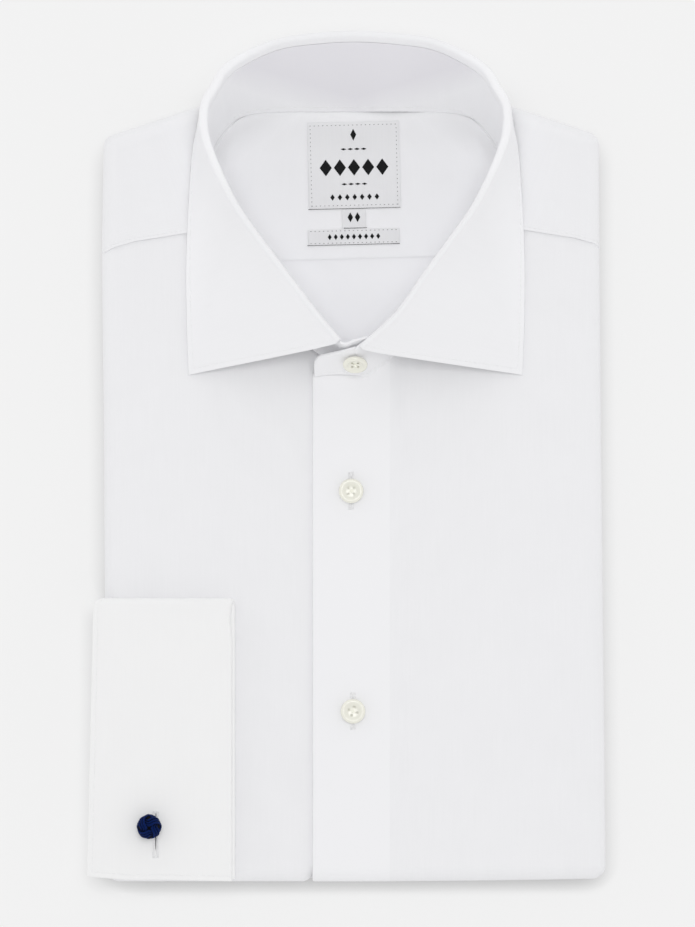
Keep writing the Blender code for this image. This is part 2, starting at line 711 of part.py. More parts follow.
def make_cuff(group, cutters, material):
    """A flattened ring of a wall that is folded back on itself at the wrist."""
    layer, fold = 6, 4
    columns = layer * 2 + fold
    straight, crease = 8, 6
    rows = straight * 2 + crease

    def where(i, j):
        if j <= straight:
            half, turn = 1.0, 0.0
            t = j / straight
        elif j >= straight + crease:
            half, turn = 0.0, math.pi
            t = (rows - j) / straight
        else:
            turn = math.pi * (j - straight) / crease
            half = 1.0 - (j - straight) / crease
            t = 1.0
        y = between(CUFF_BOTTOM_END, CUFF_TOP_END - CUFF_OUTER, t)
        left = between(CUFF_UNDER_LEFT, between(CUFF_LEFT_BOTTOM, CUFF_LEFT_TOP, t), smooth(half))
        right = between(CUFF_UNDER_RIGHT, CUFF_RIGHT, smooth(half)) - (CUFF_OUTER - CUFF_INNER) / 2
        bend = (CUFF_OUTER - CUFF_INNER) / 2
        if i <= layer:
            x, off = between(CUFF_SEAM, right, i / layer), CUFF_INNER
        elif i >= layer + fold:
            x, off = between(right, left, (i - layer - fold) / layer), CUFF_OUTER
        else:
            a = math.pi * (i - layer) / fold
            x = right + bend * math.sin(a)
            off = CUFF_INNER + bend * (1.0 - math.cos(a))
        return x, y + off * math.sin(turn), CUFF_MID + off * math.cos(turn)

    cuff = cloth("cuff", columns, rows, where, CUFF_WALL, group, material)
    corners = [(-1, -1), (1, -1), (1, 1), (-1, 1)]
    slot_ring = [(SLOT_X + sx * SLOT_WIDTH / 2, SLOT_Y + sy * SLOT_LENGTH / 2) for sx, sy in corners]
    slot = loft(
        "buttonhole_cutter",
        [[(x, y, z) for x, y in slot_ring] for z in (CUFF_MID, CUFF_MID + SLOT_CUT)],
        cutters,
    )
    boolean(cuff, slot, "DIFFERENCE")


def make_sleeve(group, material):
    """The flattened sleeve: out of the cuff, round the body's edge and under the stack."""
    path = [Vector((SLEEVE_START, 0.0, CUFF_MID))]
    centre = Vector((SLEEVE_X + SLEEVE_TURN, 0.0, CUFF_MID - SLEEVE_TURN))
    for step in range(6):
        a = math.pi / 2 * (1.0 + step / 5)
        path.append(centre + Vector((math.cos(a), 0.0, math.sin(a))) * SLEEVE_TURN)
    tuck = Vector((SLEEVE_X + SLEEVE_TUCK, 0.0, SLEEVE_FLOOR + SLEEVE_TUCK))
    for step in range(5):
        a = math.pi * (1.0 + step / 8)
        path.append(tuck + Vector((math.cos(a), 0.0, math.sin(a))) * SLEEVE_TUCK)
    path.append(Vector((SLEEVE_END, 0.0, SLEEVE_FLOOR)))
    rows = 6

    def where(i, j):
        y = between(SLEEVE_BOTTOM, SLEEVE_TOP, j / rows)
        return path[i].x, y, path[i].z

    cloth("sleeve", len(path) - 1, rows, where, SLEEVE_WALL, group, material)


def make_silk_knot(group, cutters, material):
    """A flattened ball of knotted cord on its stem, which goes down through the buttonhole."""
    top = CUFF_MID + CUFF_OUTER + CUFF_WALL / 2
    bm = bmesh.new()
    bmesh.ops.create_uvsphere(bm, u_segments=20, v_segments=12, radius=KNOT_RADIUS * MM)
    bmesh.ops.scale(bm, verts=bm.verts, vec=(1.0, 1.0, KNOT_HEIGHT / 2 / KNOT_RADIUS))
    middle = top + GAP + KNOT_HEIGHT / 2
    bmesh.ops.translate(bm, verts=bm.verts, vec=Vector((KNOT_X, KNOT_Y, middle)) * MM)
    knot = place("silk_knot", bm, group, material)
    stem = bmesh.new()
    radius = KNOT_STEM * MM
    depth = (middle - KNOT_STEM_LOW) * MM
    bmesh.ops.create_cone(stem, cap_ends=True, segments=12, radius1=radius, radius2=radius, depth=depth)
    spot = Vector((SLOT_X, KNOT_Y, (middle + KNOT_STEM_LOW) / 2))
    bmesh.ops.translate(stem, verts=stem.verts, vec=spot * MM)
    boolean(knot, place("knot_stem", stem, cutters), "UNION")


# ---------------------------------------------------------------- buttons and labels


def button_mesh(material):
    """Half the section of a turned button with a raised rim."""
    mesh = bpy.data.meshes.new("button_profile")
    points = [(p.radius * MM, 0.0, p.height * MM) for p in BUTTON_PROFILE]
    mesh.from_pydata(points, [(k, k + 1) for k in range(len(points) - 1)], [])
    mesh.materials.append(material)
    return mesh


def make_button(name, mesh, spot, tilt, turn, group, cutters):
    """A button turned from the section, with its four sewing holes."""
    button = bpy.data.objects.new(name, mesh)
    group.objects.link(button)
    screw = button.modifiers.new("Turned", "SCREW")
    screw.steps = screw.render_steps = 24
    screw.use_merge_vertices = True
    screw.merge_threshold = 0.00001
    holes = bmesh.new()
    radius = BUTTON_HOLE * MM
    for k in range(4):
        a = math.pi / 4 + math.pi / 2 * k
        hole = bmesh.ops.create_cone(
            holes, cap_ends=True, segments=8, radius1=radius, radius2=radius, depth=BUTTON_CUT * MM
        )
        spot_in_button = Vector((math.cos(a), math.sin(a), 0.0)) * BUTTON_HOLE_PLACE * MM
        bmesh.ops.translate(holes, verts=hole["verts"], vec=spot_in_button)
    cutter = place(name + "_holes", holes, cutters)
    cutter.parent = button
    boolean(button, cutter, "DIFFERENCE")
    button.location = spot * MM
    button.rotation_euler = (tilt, 0.0, turn)


def make_buttons(group, cutters, material):
    mesh = button_mesh(material)
    seat = FRONT_TOP + LAP_RISE + FACING_RISE + GAP
    for row in FRONT_BUTTONS:
        make_button(row.name, mesh, Vector((row.x, row.y, seat)), 0.0, row.turn, group, cutters)
    make_button("button_collar", mesh, COLLAR_BUTTON, COLLAR_BUTTON_TILT, 0.0, group, cutters)


def make_labels(group, material):
    bottom = INNER_MID + INNER_CLOTH / 2 + GAP
    for row in LABELS:

        def where(i, j, row=row):
            return between(row.left, row.right, i / 2), between(row.low, row.high, j / 2), bottom + LABEL / 2

        cloth(row.name, 2, 2, where, LABEL, group, material)


def main():
    clear_scene()
    shirt = collection("long_sleeve_dress_shirt")
    cutters = collection("cutters")
    cotton = finish("white_cotton", WHITE, 0.85)
    make_fronts(shirt, cotton)
    make_yoke_outer(shirt, cotton)
    inner_sheet("yoke_inner", INNER_YOKE_ROWS, INNER_RISE, shirt, cotton)
    inner_sheet("back", INNER_BACK_ROWS, 0.0, shirt, cotton)
    make_folded_layers(shirt, cutters, cotton)
    make_collar_band(shirt, cotton)
    make_collar_leaf(shirt, cotton)
    make_cuff(shirt, cutters, cotton)
    make_sleeve(shirt, cotton)
    make_silk_knot(shirt, cutters, finish("navy_silk", NAVY, 0.6))
    make_buttons(shirt, cutters, finish("cream_button", CREAM, 0.3))
    make_labels(shirt, finish("woven_label", LABEL_GREY, 0.8))


main()
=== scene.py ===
"""Long sleeve dress shirt, folded flat for display: the finished cloth, sewing and trimmings.

The file is laid out as a Blender add-on. Lengths in the tables are millimetres, with the shirt's
middle at the origin, +X to the right, +Y towards the collar and +Z up. The wearer faces up, so
the wearer's left front lies at +X.
"""

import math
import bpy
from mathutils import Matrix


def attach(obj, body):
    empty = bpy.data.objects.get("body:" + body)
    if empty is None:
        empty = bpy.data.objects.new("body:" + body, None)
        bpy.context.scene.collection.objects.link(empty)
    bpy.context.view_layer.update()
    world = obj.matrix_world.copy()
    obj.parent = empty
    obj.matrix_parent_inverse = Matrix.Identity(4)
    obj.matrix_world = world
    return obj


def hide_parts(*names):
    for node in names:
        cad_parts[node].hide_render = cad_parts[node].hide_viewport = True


bl_info = {
    "name": "Folded dress shirt",
    "version": (1, 0, 0),
    "blender": (4, 5, 0),
    "location": "View3D > Sidebar > Shirt",
    "description": "Builds the cloth, sewing, buttons, labels and studio of a folded dress shirt",
    "category": "Add Mesh",
}

from collections import namedtuple
from itertools import accumulate

import bmesh
import bpy
from bpy.props import FloatProperty, FloatVectorProperty, IntProperty, PointerProperty
from mathutils import Matrix, Vector, noise

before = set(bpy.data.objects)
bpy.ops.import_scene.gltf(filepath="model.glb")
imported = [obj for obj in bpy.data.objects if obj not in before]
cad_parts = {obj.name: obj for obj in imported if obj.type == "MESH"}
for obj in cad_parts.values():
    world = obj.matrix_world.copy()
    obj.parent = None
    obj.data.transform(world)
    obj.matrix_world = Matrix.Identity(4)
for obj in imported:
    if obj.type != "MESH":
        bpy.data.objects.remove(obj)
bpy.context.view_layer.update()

MM = 0.001
METRES = Matrix.Scale(MM, 4)
QUARTER = math.pi / 2


def table(fields, *rows):
    """Rows of values, named by the fields."""
    return tuple(map(namedtuple("Row", fields)._make, rows))


# Folded body
FRONT_TOP = 19.7  # top of the fronts above the table
CORNER = 6.2  # radius of the cloth's outside where it turns over an edge of the fold
WRAP_END = 9.6  # height where the wrapped cloth goes under, between the folded layers
TUCK_ROUND = 0.8  # radius of that turn
TUCK_DEPTH = 0.6
BOTTOM = -189.1
BOTTOM_RISE = 1.3
COLLAR_X = 4.2
SHOULDER = 156.2
SHOULDER_WIDTH = 68
SHOULDER_SLOPE = 0.33
SHOULDER_BEND = 16
SWELL_FADE = 12  # how far inside the folds the body's unevenness has faded in
EDGES = table(
    "y left right",
    (-190, -107, 115.7), (-55, -107.5, 114.3), (20, -108, 113.5), (90, -108.8, 112.9),
    (157, -107.8, 112.6),
)

# Seams, with w the half width from the collar's middle
YOKE_SEAM = table(
    "w y",
    (62, 101.4), (74.5, 100.3), (87, 98.3), (98, 96.4), (106, 94.4), (112, 91.6),
)
YOKE_SEAM_TILT = 0.7
YOKE_TILT_START = 60  # half width where the yoke's seam starts to lie further back
YOKE_TILT_WIDTH = 12
YOKE_STITCH_INSET = 1.4
FRONT_NECK = table(
    "w y",
    (-20, 37.4), (-10, 38), (0, 38.2), (7, 39.6), (25, 52.4), (39, 67.1), (51, 82.7), (59, 94.6),
    (62, 101.4),
)
YOKE_SIDE = table(
    "w_low y_low w_high",
    (98, 96.6, 98.5), (87, 98.3, 93.5), (74.5, 100.3, 89), (62, 101.4, 85),
)
YOKE_NECK = table(
    "w_low y_low w_high",
    (62, 101.4, 85), (66, 111.6, 80), (66.9, 123.2, 75), (65.6, 131.2, 70.5), (62.9, 137.9, 66),
    (58.9, 143.4, 60.5), (52.9, 149.4, 53.5), (43.4, 152.6, 43.5), (30.9, 153.2, 31),
    (15.5, 153.2, 15.5), (0, 153.2, 0),
)
NECK_SINK = 0.5
NECK_SINK_WIDTH = 70
NECK_SINK_SIDE = 22
NECK_SINK_START = 118
NECK_SINK_BACK = 24

# Front closure
PLACKET_EDGE = -14.6
PLACKET_WIDTH = 34
UNDER_EDGE = PLACKET_EDGE + PLACKET_WIDTH
LAP_RISE = 1.95
LAP_START = UNDER_EDGE + 0.3
LAP_SLOPE = 8
PLACKET_ROUND = 0.5
FACING_HIDDEN = (15, 9, 4, 1)
UNDER_YOKE = 0.45  # how far the fronts sink where they go under the yoke
NECK_RISE = 0.9  # how far the lapping front comes up to the band at the closure
NECK_RISE_LENGTH = 6

# Inside the neck
INNER_FLOOR = 12  # top of the inner yoke where it lies flat
INNER_SEAM = 88.3
INNER_SEAM_TILT = 0.032
RIM_RAMP = 10  # width over which the cloth inside rises to the neck seam at the sides
RIM_RAMP_BACK = 20
RIM_START = 104  # it starts to rise here, and is up RIM_LENGTH further back
RIM_LENGTH = 22
RIM_LIFT = 0.5
RIM_GROOVE = 0.8  # how deep the cloth is drawn in at the neck seam
RIM = table(
    "w y",
    (9, 35), (25, 49), (39, 64), (50.5, 79), (56.5, 88.2), (62.5, 98), (66, 111.5), (67, 117),
    (67.3, 123.2), (66.8, 127.5), (66, 131.5), (64.8, 135), (63.4, 138.6), (61.6, 141.8),
    (59.5, 144.6), (56.5, 148), (53.4, 150.6), (49, 152.6), (44, 153.5),
)
RIM_TOP = 153.5

# Collar: sections of its left half, from the middle of the back to the front end
SECTIONS = table(
    "neck_w neck_y fold_w fold_y fold_z edge_w edge_y edge_z",
    (0, 154.2, 0, 186.2, 34, 0, 163.4, 1.5), (15.8, 154.2, 16.3, 185.3, 34.3, 15.8, 163.2, 1.5),
    (31.2, 154.2, 32.6, 182.9, 36, 32.3, 162.6, 1.5),
    (44.2, 153.5, 45.4, 177.6, 39, 46.9, 161.9, 1.5),
    (53.8, 150.3, 55.6, 170.7, 43, 59, 161.4, 1.9), (59.9, 144.2, 60.8, 162.2, 47.5, 66.2, 160, 6),
    (63.9, 138.3, 64.5, 155.4, 51.5, 68.4, 155.2, 20.2),
    (66.6, 131.3, 65, 146.3, 54.5, 70.1, 146.2, 20.8),
    (67.9, 123.2, 63.1, 137.4, 56, 71.9, 136.6, 20.8),
    (67, 111.5, 58, 124.5, 56, 73.4, 118.7, 20.8),
    (61.6, 96.9, 50.7, 110.2, 54.5, 74.5, 98.7, 20.8), (51.8, 82.2, 41, 96.3, 51.5, 75, 78.7, 20.8),
    (39.7, 66.5, 29.6, 81.1, 48.5, 74.8, 60, 20.8), (25.7, 51.7, 17.6, 65, 45.5, 74.4, 45.8, 20.8),
    (7.4, 37.6, 6.4, 51.1, 42, 74.1, 36.4, 20.8),
)
# The last sections' shifts along y, and along x
LAPS = table("under over over_x", (0, 0, 0), (0.2, -0.3, 0), (0.5, -1, 0), (1.2, -1.6, -4.6))
# From the neck seam to the middle of the band's lower edge
BandFoot = namedtuple("BandFoot", "up out")
BAND_BACK = BandFoot(0.2, -0.9)
BAND_SIDE = BandFoot(1.2, -0.7)
BAND_SEAM = 0.25
OVER_TUCK = BandFoot(0.8, 1.2)
# How far the leaf rises above the band, and the radius of its roll
ROLLS = table(
    "age rise radius",
    (0, 2.5, 1.3), (0.15, 2.5, 1.3), (0.3, 3.4, 1.5), (0.5, 3.4, 1.4), (0.75, 1.4, 0.9),
)
LEAF_MIDDLE = 0.7  # from the fold line to the middle of the leaf's stand
# How far the leaf falls straight before it turns out to its edge, as a share of its width
LEAF_LEAVE = 0.25
LEAF_LEAVE_END = 0.09
LEAF_LEVEL = 0.4  # how level it arrives at its edge
LEAF_SLANT = 0.93  # distance from a front edge square to it, as a share of that along a row
LEAF_EDGE_ROWS = (6, 4.4, 3.4, 2.9, 2.5, 2.2, 1.9, 1.5, 1, 0.5, 0)  # distances from the free edge
BAND_END_PARTS = (slice(0, 3), slice(3, 6))  # the columns of the neck and of the top
BAND_STITCH_INSET = 1.6
STITCH_GROOVE = 0.06
STITCH_PUFF = 0.05
UNDER_END = table(
    "neck_x neck_y neck_z top_x top_y top_z",
    (12.6, 45, 22.8, 11, 53.4, 38.4), (10.6, 42.6, 22, 9.2, 53, 40.8),
    (4.8, 39.6, 21.6, 4.2, 51.8, 41.8),
)
OVER_END = table(
    "neck_x neck_y neck_z top_x top_y top_z",
    (6, 36.6, 23, 3.8, 48.4, 41), (1.8, 36.9, 23.1, 0.6, 47.5, 40.2),
    (-2.6, 37, 23.1, -2.8, 46.6, 39.2), (-8.8, 36.8, 23, -8.8, 45.3, 38),
    (-12.4, 36.2, 23, -12.4, 44.2, 35.8), (-14.1, 36, 23.6, -14.1, 41.8, 32.4),
)

# Cuff and sleeve
CUFF_TOP_END = -63.4
CUFF_BOTTOM_END = -187.8
CUFF_BOTTOM = table(
    "x y",
    (-115.6, -186.5), (-105, -187.4), (-96.5, -188.1), (-82.7, -188), (-51, -188.7),
)
CUFF_LEFT_TOP = -112.3
CUFF_LEFT_BOTTOM = -115.1
CUFF_RIGHT = -51.3
CUFF_UNDER_RIGHT = -49.9
CUFF_UNDER_LEFT = -102.6
CUFF_SEAM = -103.8
CUFF_INNER = 0.85
CUFF_OUTER = 2.55
CUFF_MID = 23.2
CUFF_PUCKER_Y = -73
SLOT_X = -84.6
SLOT_Y = -166.4
SLOT_LENGTH = 16.4
SLOT_WIDTH = 0.5
SLOT_WORKED_Y = -167.9
SLOT_WORKED = 18.6
SLEEVE_TOP = -66.2
SLEEVE_BOTTOM = -186
SLEEVE_TURN = 5.3
SLEEVE_X = -109.9
SLEEVE_TUCK = 4.4
SLEEVE_END = -101.2
SLEEVE_FLOOR = 1.5
SLEEVE_CLEAR = 1.6  # most inset of the hidden layers on the left, but for where the sleeve is
SLEEVE_PLEATS = table("y width height", (-92, 3.2, 1), (-104, 3.6, -0.8), (-146, 4.5, 0.7))

# Trimmings
KNOT_X = -87.4
KNOT_Y = -164.3
KNOT_FLAT = 0.8  # the knot's height as a share of its width
STEM_RADIUS = 0.85
HOLE_THREAD = 0.17  # radius of the buttonholes' thread
HOLE_PITCH = 0.42
FRONT_BUTTONS = table(
    "name x y turn",
    ("button_front_1", 2.3, -15.2, 0), ("button_front_2", 3.1, -113.2, math.radians(27)),
)
BUTTON_SEAT = FRONT_TOP + LAP_RISE + 0.3
COLLAR_BUTTON = Vector((4.1, 41.9, 33.6))
COLLAR_BUTTON_TILT = math.radians(52)
LABELS = table(
    "name left right low high",
    ("label_main", -16.9, 24, 110.7, 149.2), ("label_size", -1.8, 8.9, 102, 110.3),
    ("label_lower", -16.9, 24, 94.6, 101.6),
)
LABEL_TURN = math.radians(1.4)
# Rows of woven diamonds
MOTIFS = table(
    "label y wide high count pitch",
    ("label_main", 13.6, 2.6, 5.4, 1, 0), ("label_main", 7.2, 2.6, 1, 4, 3),
    ("label_main", -1, 5.4, 7.4, 5, 6.3), ("label_main", -8.4, 2.6, 1, 4, 3),
    ("label_main", -14.2, 2, 2.8, 7, 3.3), ("label_size", 0.6, 2.4, 4.4, 2, 3.2),
    ("label_lower", 0, 1.8, 2.6, 9, 2.7),
)

# Soft creases: a trough (depth below 0) or ridge along a line, of a Gaussian width
FRONT_CREASES = table(
    "x1 y1 x2 y2 width depth",
    (-92, 84, -62, 12, 7, 0.30), (-80, 30, -24, 4, 6, -0.28), (-40, 30, -16, -46, 5, 0.22),
    (-98, 40, -90, -40, 6, -0.20), (-66, -30, -18, -60, 8, 0.22), (-44, -90, -20, -180, 5, -0.20),
    (-72, 124, -88, 108, 3.5, -0.30), (-70, 112, -96, 104, 4, 0.28), (-94, 134, -104, 100, 5, 0.22),
    (84, 122, 98, 106, 4, -0.28), (82, 108, 106, 100, 4.5, 0.26), (84, 78, 60, 8, 7, 0.30),
    (74, 30, 30, -8, 6, -0.26), (38, 26, 22, -40, 5, 0.20), (104, 60, 96, -36, 7, -0.24),
    (92, -48, 34, -92, 9, 0.24), (106, -120, 58, -168, 8, -0.24), (44, -100, 38, -182, 6, 0.18),
)
BAND_CREASES = table(
    "x1 y1 x2 y2 width depth",
    (-44.5, 176, -51, 157, 3, 0.30), (-52, 166, -57, 150, 2.6, -0.25),
    (52, 173, 57.5, 156, 3, 0.30), (58.5, 163, 62.5, 148, 2.6, -0.25), (-18, 178, 8, 172, 4, 0.15),
    (16, 166, 34, 170, 4, -0.15),
)
INNER_CREASES = table(
    "x1 y1 x2 y2 width depth",
    (-34, 146, -48, 104, 5, 0.35), (40, 148, 54, 108, 5, 0.32), (-24, 92, 36, 96, 6, 0.25),
    (-12, 84, 0, 44, 5, -0.30), (20, 84, 9, 50, 4, 0.25),
)

# ---------------------------------------------------------------- settings


def amount(name, description, default, **limits):
    return FloatProperty(name=name, description=description, default=default, **limits)


def length(name, description, default):
    return amount(name, description, default, unit="LENGTH", min=0.0)


def colour(name, description, default):
    return FloatVectorProperty(
        name=name, description=description, default=default, subtype="COLOR", size=3, min=0.0, max=1.0
    )


class ShirtSizes(bpy.types.PropertyGroup):
    cloth: length("Shirting", "Thickness of the fronts', back's and sleeve's cloth", 0.0006)
    yoke_cloth: length("Yoke", "Thickness of the yoke's cloth", 0.0008)
    collar_cloth: length("Collar", "Thickness of the interlined collar leaf and band", 0.0011)
    cuff_cloth: length("Cuff", "Thickness of the interlined cuff", 0.0011)
    seam_step: length("Seam step", "Height of a lapped seam's folded edge above the cloth", 0.0007)
    stitch_inset: length("Stitch inset", "Distance of the topstitching from the edge", 0.0022)
    stitch_pitch: length("Stitch pitch", "Distance from one stitch to the next", 0.0021)
    thread: length("Thread", "Radius of the sewing thread", 0.00014)
    weave: length("Weave", "Distance between two threads of the shirting", 0.00028)
    button_radius: length("Button radius", "Outer radius of the buttons", 0.0055)
    knot_radius: length("Knot radius", "Outer radius of the silk knot", 0.0059)
    knot_cord: length("Knot cord", "Radius of the silk knot's cord", 0.00053)
    knot_passes: IntProperty(
        name="Knot passes", description="How many cords lie side by side in the knot", default=3, min=1
    )


class ShirtColours(bpy.types.PropertyGroup):
    cotton: colour("Cotton", "White shirting", (0.845, 0.845, 0.861))
    # Painted shade: the darker, lavender tone that the inside of the band takes towards the back, where
    # it lies in shade
    band: colour("Band", "Painted shade at the back of the collar band", (0.785, 0.775, 0.81))
    cuff: colour("Cuff", "White shirting of the cuff", (0.868, 0.868, 0.870))
    thread: colour("Thread", "Sewing thread", (0.86, 0.86, 0.87))
    button_thread: colour("Button thread", "Thread that holds the buttons", (0.96, 0.95, 0.84))
    button: colour("Button", "Cream button", (0.825, 0.822, 0.75))
    silk: colour("Silk", "Navy silk cord", (0.0009, 0.0045, 0.0295))
    label: colour("Label", "Woven label", (0.795, 0.795, 0.81))
    label_mark: colour("Label mark", "Dark thread of the labels", (0.008, 0.008, 0.009))
    floor: colour("Floor", "Studio floor", (0.25, 0.25, 0.25))


class StudioSettings(bpy.types.PropertyGroup):
    camera_height: length("Camera height", "Height of the camera above the shirt", 5.0)
    view_height: length("View height", "Height of the picture at the shirt", 0.4125)
    view_x: amount("View X", "Middle of the picture", 0.00067, unit="LENGTH")
    view_y: amount("View Y", "Middle of the picture", -0.003, unit="LENGTH")
    sky: amount("Sky", "Strength of the light from all round", 0.372, min=0.0)
    horizon: amount("Horizon", "Extra light of the tent's sides", 0.71, min=0.0)
    key: amount("Key", "Power of the soft box overhead", 20.0, min=0.0)
    glow: amount("Glow", "Light given by the floor's own panel", 0.643, min=0.0)
    # Painted shadow: how far the floor's glow is dimmed next to the shirt
    painted_contact_shadow: amount("Contact", "Painted shadow: how much the panel's glow is dimmed round the shirt", 0.73, min=0.0, max=1.0)


# ---------------------------------------------------------------- curves


def smooth(t):
    """0 to 1 with level ends."""
    t = min(max(t, 0.0), 1.0)
    return t * t * (3.0 - 2.0 * t)


def bell(x, middle, width):
    """1 at the middle, fading to both sides over the width."""
    return math.exp(-(((x - middle) / width) ** 2))


def between(a, b, t):
    return a + (b - a) * t


def steps(first, last, count):
    """count + 1 numbers from first to last, evenly spaced."""
    return [between(first, last, k / count) for k in range(count + 1)]


def arc(x, y, radius, first, last, count):
    """Points of a circle from the angle first to last."""
    turns = steps(first, last, count)
    return [(x + math.cos(turn) * radius, y + math.sin(turn) * radius) for turn in turns]


def read(rows, key, value, x):
    """The value column of a table at x, straight between its rows, in order of the key column."""
    before = rows[0]
    for row in rows:
        at = getattr(row, key)
        if x <= at:
            start = getattr(before, key)
            share = (x - start) / (at - start) if at > start else 0.0
            return between(getattr(before, value), getattr(row, value), max(share, 0.0))
        before = row
    return getattr(rows[-1], value)


def spline(points, t):
    """The point at t, 0 to 1, of a smooth curve through the points."""
    s = min(max(t, 0.0), 1.0) * (len(points) - 1)
    k = min(int(s), len(points) - 2)
    f = s - k
    p1, p2 = points[k], points[k + 1]
    p0 = points[k - 1] if k else p1 * 2 - p2
    p3 = points[k + 2] if k + 2 < len(points) else p2 * 2 - p1
    low = p1 * 2 + (p2 - p0) * f + (p0 * 2 - p1 * 5 + p2 * 4 - p3) * f**2
    return (low + (p1 * 3 - p0 - p2 * 3 + p3) * f**3) * 0.5


def creased(creases, x, y):
    """Height of the soft creases at x, y. Each wanders a little from its line and fades to its ends."""
    height = 0.0
    for c in creases:
        along = Vector((c.x2 - c.x1, c.y2 - c.y1))
        here = Vector((x - c.x1, y - c.y1))
        share = here.dot(along) / along.length_squared
        if 0.0 < share < 1.0:
            side = (here.x * along.y - here.y * along.x) / along.length
            side += 1.5 * math.sin(share * 7.0 + c.x1)
            height += c.depth * bell(side, 0.0, c.width) * math.sin(math.pi * share) ** 0.8
    return height


def uneven(x, y, size, height, seed=0.0):
    """A gentle unevenness of the cloth."""
    return noise.noise(Vector((x / size, y / size, seed))) * height


def edge_x(side, y):
    return read(EDGES, "y", "left" if side < 0 else "right", y)


def bottom_y(x):
    return BOTTOM + BOTTOM_RISE * max(0.0, x / EDGES[0].right) ** 2


def shoulder_slope(w):
    return SHOULDER_SLOPE * smooth((w - SHOULDER_WIDTH) / SHOULDER_BEND + 0.5)


def shoulder_y(x):
    return SHOULDER - SHOULDER_SLOPE * max(0.0, abs(x - COLLAR_X) - SHOULDER_WIDTH)


def sink(x, y, z):
    """The height z, lowered behind the neck, where fewer layers lie under the collar."""
    w = abs(x - COLLAR_X)
    sideways = smooth((NECK_SINK_WIDTH - w) / NECK_SINK_SIDE)
    share = NECK_SINK * sideways * smooth((y - NECK_SINK_START) / NECK_SINK_BACK)
    return WRAP_END + (z - WRAP_END) * (1.0 - share) if z > WRAP_END else z


def seam_tilt(side, w):
    """How far back the yoke's front seam lies: a little on the left shoulder."""
    return side * YOKE_SEAM_TILT * smooth((w - YOKE_TILT_START) / YOKE_TILT_WIDTH)


def seam_y(side, w):
    return read(YOKE_SEAM, "w", "y", w) + seam_tilt(side, w)


def top_z(x, y):
    """The top face of the shirt's cloth at x, y."""
    over = y - (shoulder_y(x) - CORNER)
    drop = CORNER - math.sqrt(max(CORNER**2 - max(over, 0.0) ** 2, 0.0))
    return sink(x, y, FRONT_TOP - drop)


def lap_rise(x):
    """How much higher the lapping front lies at x."""
    return LAP_RISE * (1.0 - smooth((x - LAP_START) / LAP_SLOPE))


# ---------------------------------------------------------------- cloth


def run_lengths(points):
    """Distances along a line of points."""
    return [0.0, *accumulate((b - a).length for a, b in zip(points, points[1:]))]


def walk(place, count, distance, backwards):
    """Where a line of points, place(0) to place(count), is a distance from its first or last one."""
    step = -1 if backwards else 1
    for k in range(count, 0, -1) if backwards else range(count):
        stretch = (place(k + step) - place(k)).length
        if stretch >= distance:
            return k + step * distance / stretch
        distance -= stretch
    return 0.0 if backwards else float(count)


class Sheet:
    """The middle surface of a cloth: a grid of points, in millimetres, with its right side up."""

    def __init__(self, columns, rows, where, mirrored=False):
        self.columns, self.rows = columns, rows
        order = range(columns, -1, -1) if mirrored else range(columns + 1)
        self.points = [[Vector(where(i, j)) for j in range(rows + 1)] for i in order]

    def at(self, i, j):
        i, j = min(max(i, 0.0), self.columns), min(max(j, 0.0), self.rows)
        a, b = min(int(i), self.columns - 1), min(int(j), self.rows - 1)
        u, v = i - a, j - b
        low = self.points[a][b].lerp(self.points[a + 1][b], u)
        high = self.points[a][b + 1].lerp(self.points[a + 1][b + 1], u)
        return low.lerp(high, v)

    def normal(self, i, j):
        along = self.at(i + 0.6, j) - self.at(i - 0.6, j)
        across = self.at(i, j + 0.6) - self.at(i, j - 0.6)
        return along.cross(across).normalized()

    def row_at(self, i, distance, from_top=False):
        """The place in column i that lies a distance along it from its first or last row."""
        return walk(lambda j: self.at(i, j), self.rows, distance, from_top)

    def column_at(self, j, distance, from_end=False):
        """The place in row j that lies a distance along it from its first or last column."""
        return walk(lambda i: self.at(i, j), self.columns, distance, from_end)

    def shape(self, change):
        """Moves each point along its normal by change(i, j, point)."""
        moves = [
            [self.normal(i, j) * change(i, j, point) for j, point in enumerate(column)]
            for i, column in enumerate(self.points)
        ]
        for column, shifts in zip(self.points, moves):
            for j, shift in enumerate(shifts):
                column[j] += shift

    def mesh(self, closed=False):
        """The grid as a bmesh, with its lengths in metres as UV. closed joins its two side edges."""
        bm = bmesh.new()
        bmesh.ops.create_grid(bm, x_segments=self.columns, y_segments=self.rows, size=0.5)
        place = {}
        for vertex in bm.verts:
            i = round((vertex.co.x + 0.5) * self.columns)
            j = round((vertex.co.y + 0.5) * self.rows)
            place[vertex] = (i, j)
            vertex.co = self.points[i][j] * MM
        across = run_lengths([column[self.rows // 2] for column in self.points])
        along = run_lengths(self.points[self.columns // 2])
        uv = bm.loops.layers.uv.new("cloth")
        for face in bm.faces:
            for loop in face.loops:
                i, j = place[loop.vert]
                loop[uv].uv = (across[i] * MM, along[j] * MM)
        if closed:
            bmesh.ops.remove_doubles(bm, verts=bm.verts, dist=1e-7)
        return bm

    def path(self, places, lift):
        """Points and normals at the (i, j) places, lifted off the middle surface, for stitches."""
        normals = [self.normal(i, j) for i, j in places]
        return [(self.at(*place) + up * lift, up) for place, up in zip(places, normals)]


def placed(name, data):
    """A new object of the scene."""
    obj = bpy.data.objects.new(name, data)
    bpy.context.scene.collection.objects.link(obj)
    return obj


def object_of(name, bm):
    """A new object of a bmesh, which is used up."""
    mesh = bpy.data.meshes.new(name)
    bm.to_mesh(mesh)
    bm.free()
    return placed(name, mesh)


def soften(mesh, sharp):
    mesh.shade_smooth()
    mesh.set_sharp_from_angle(angle=math.radians(sharp))


def piece(name, bm, finish, nodes=(), slot=None, sharp=40.0):
    """The finished object of a bmesh, in metres, riding with the shirt."""
    obj = object_of(name, bm)
    obj.data.materials.append(finishes()[finish])
    soften(obj.data, sharp)
    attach(obj, "root")
    if nodes:
        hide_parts(*nodes)
    return obj


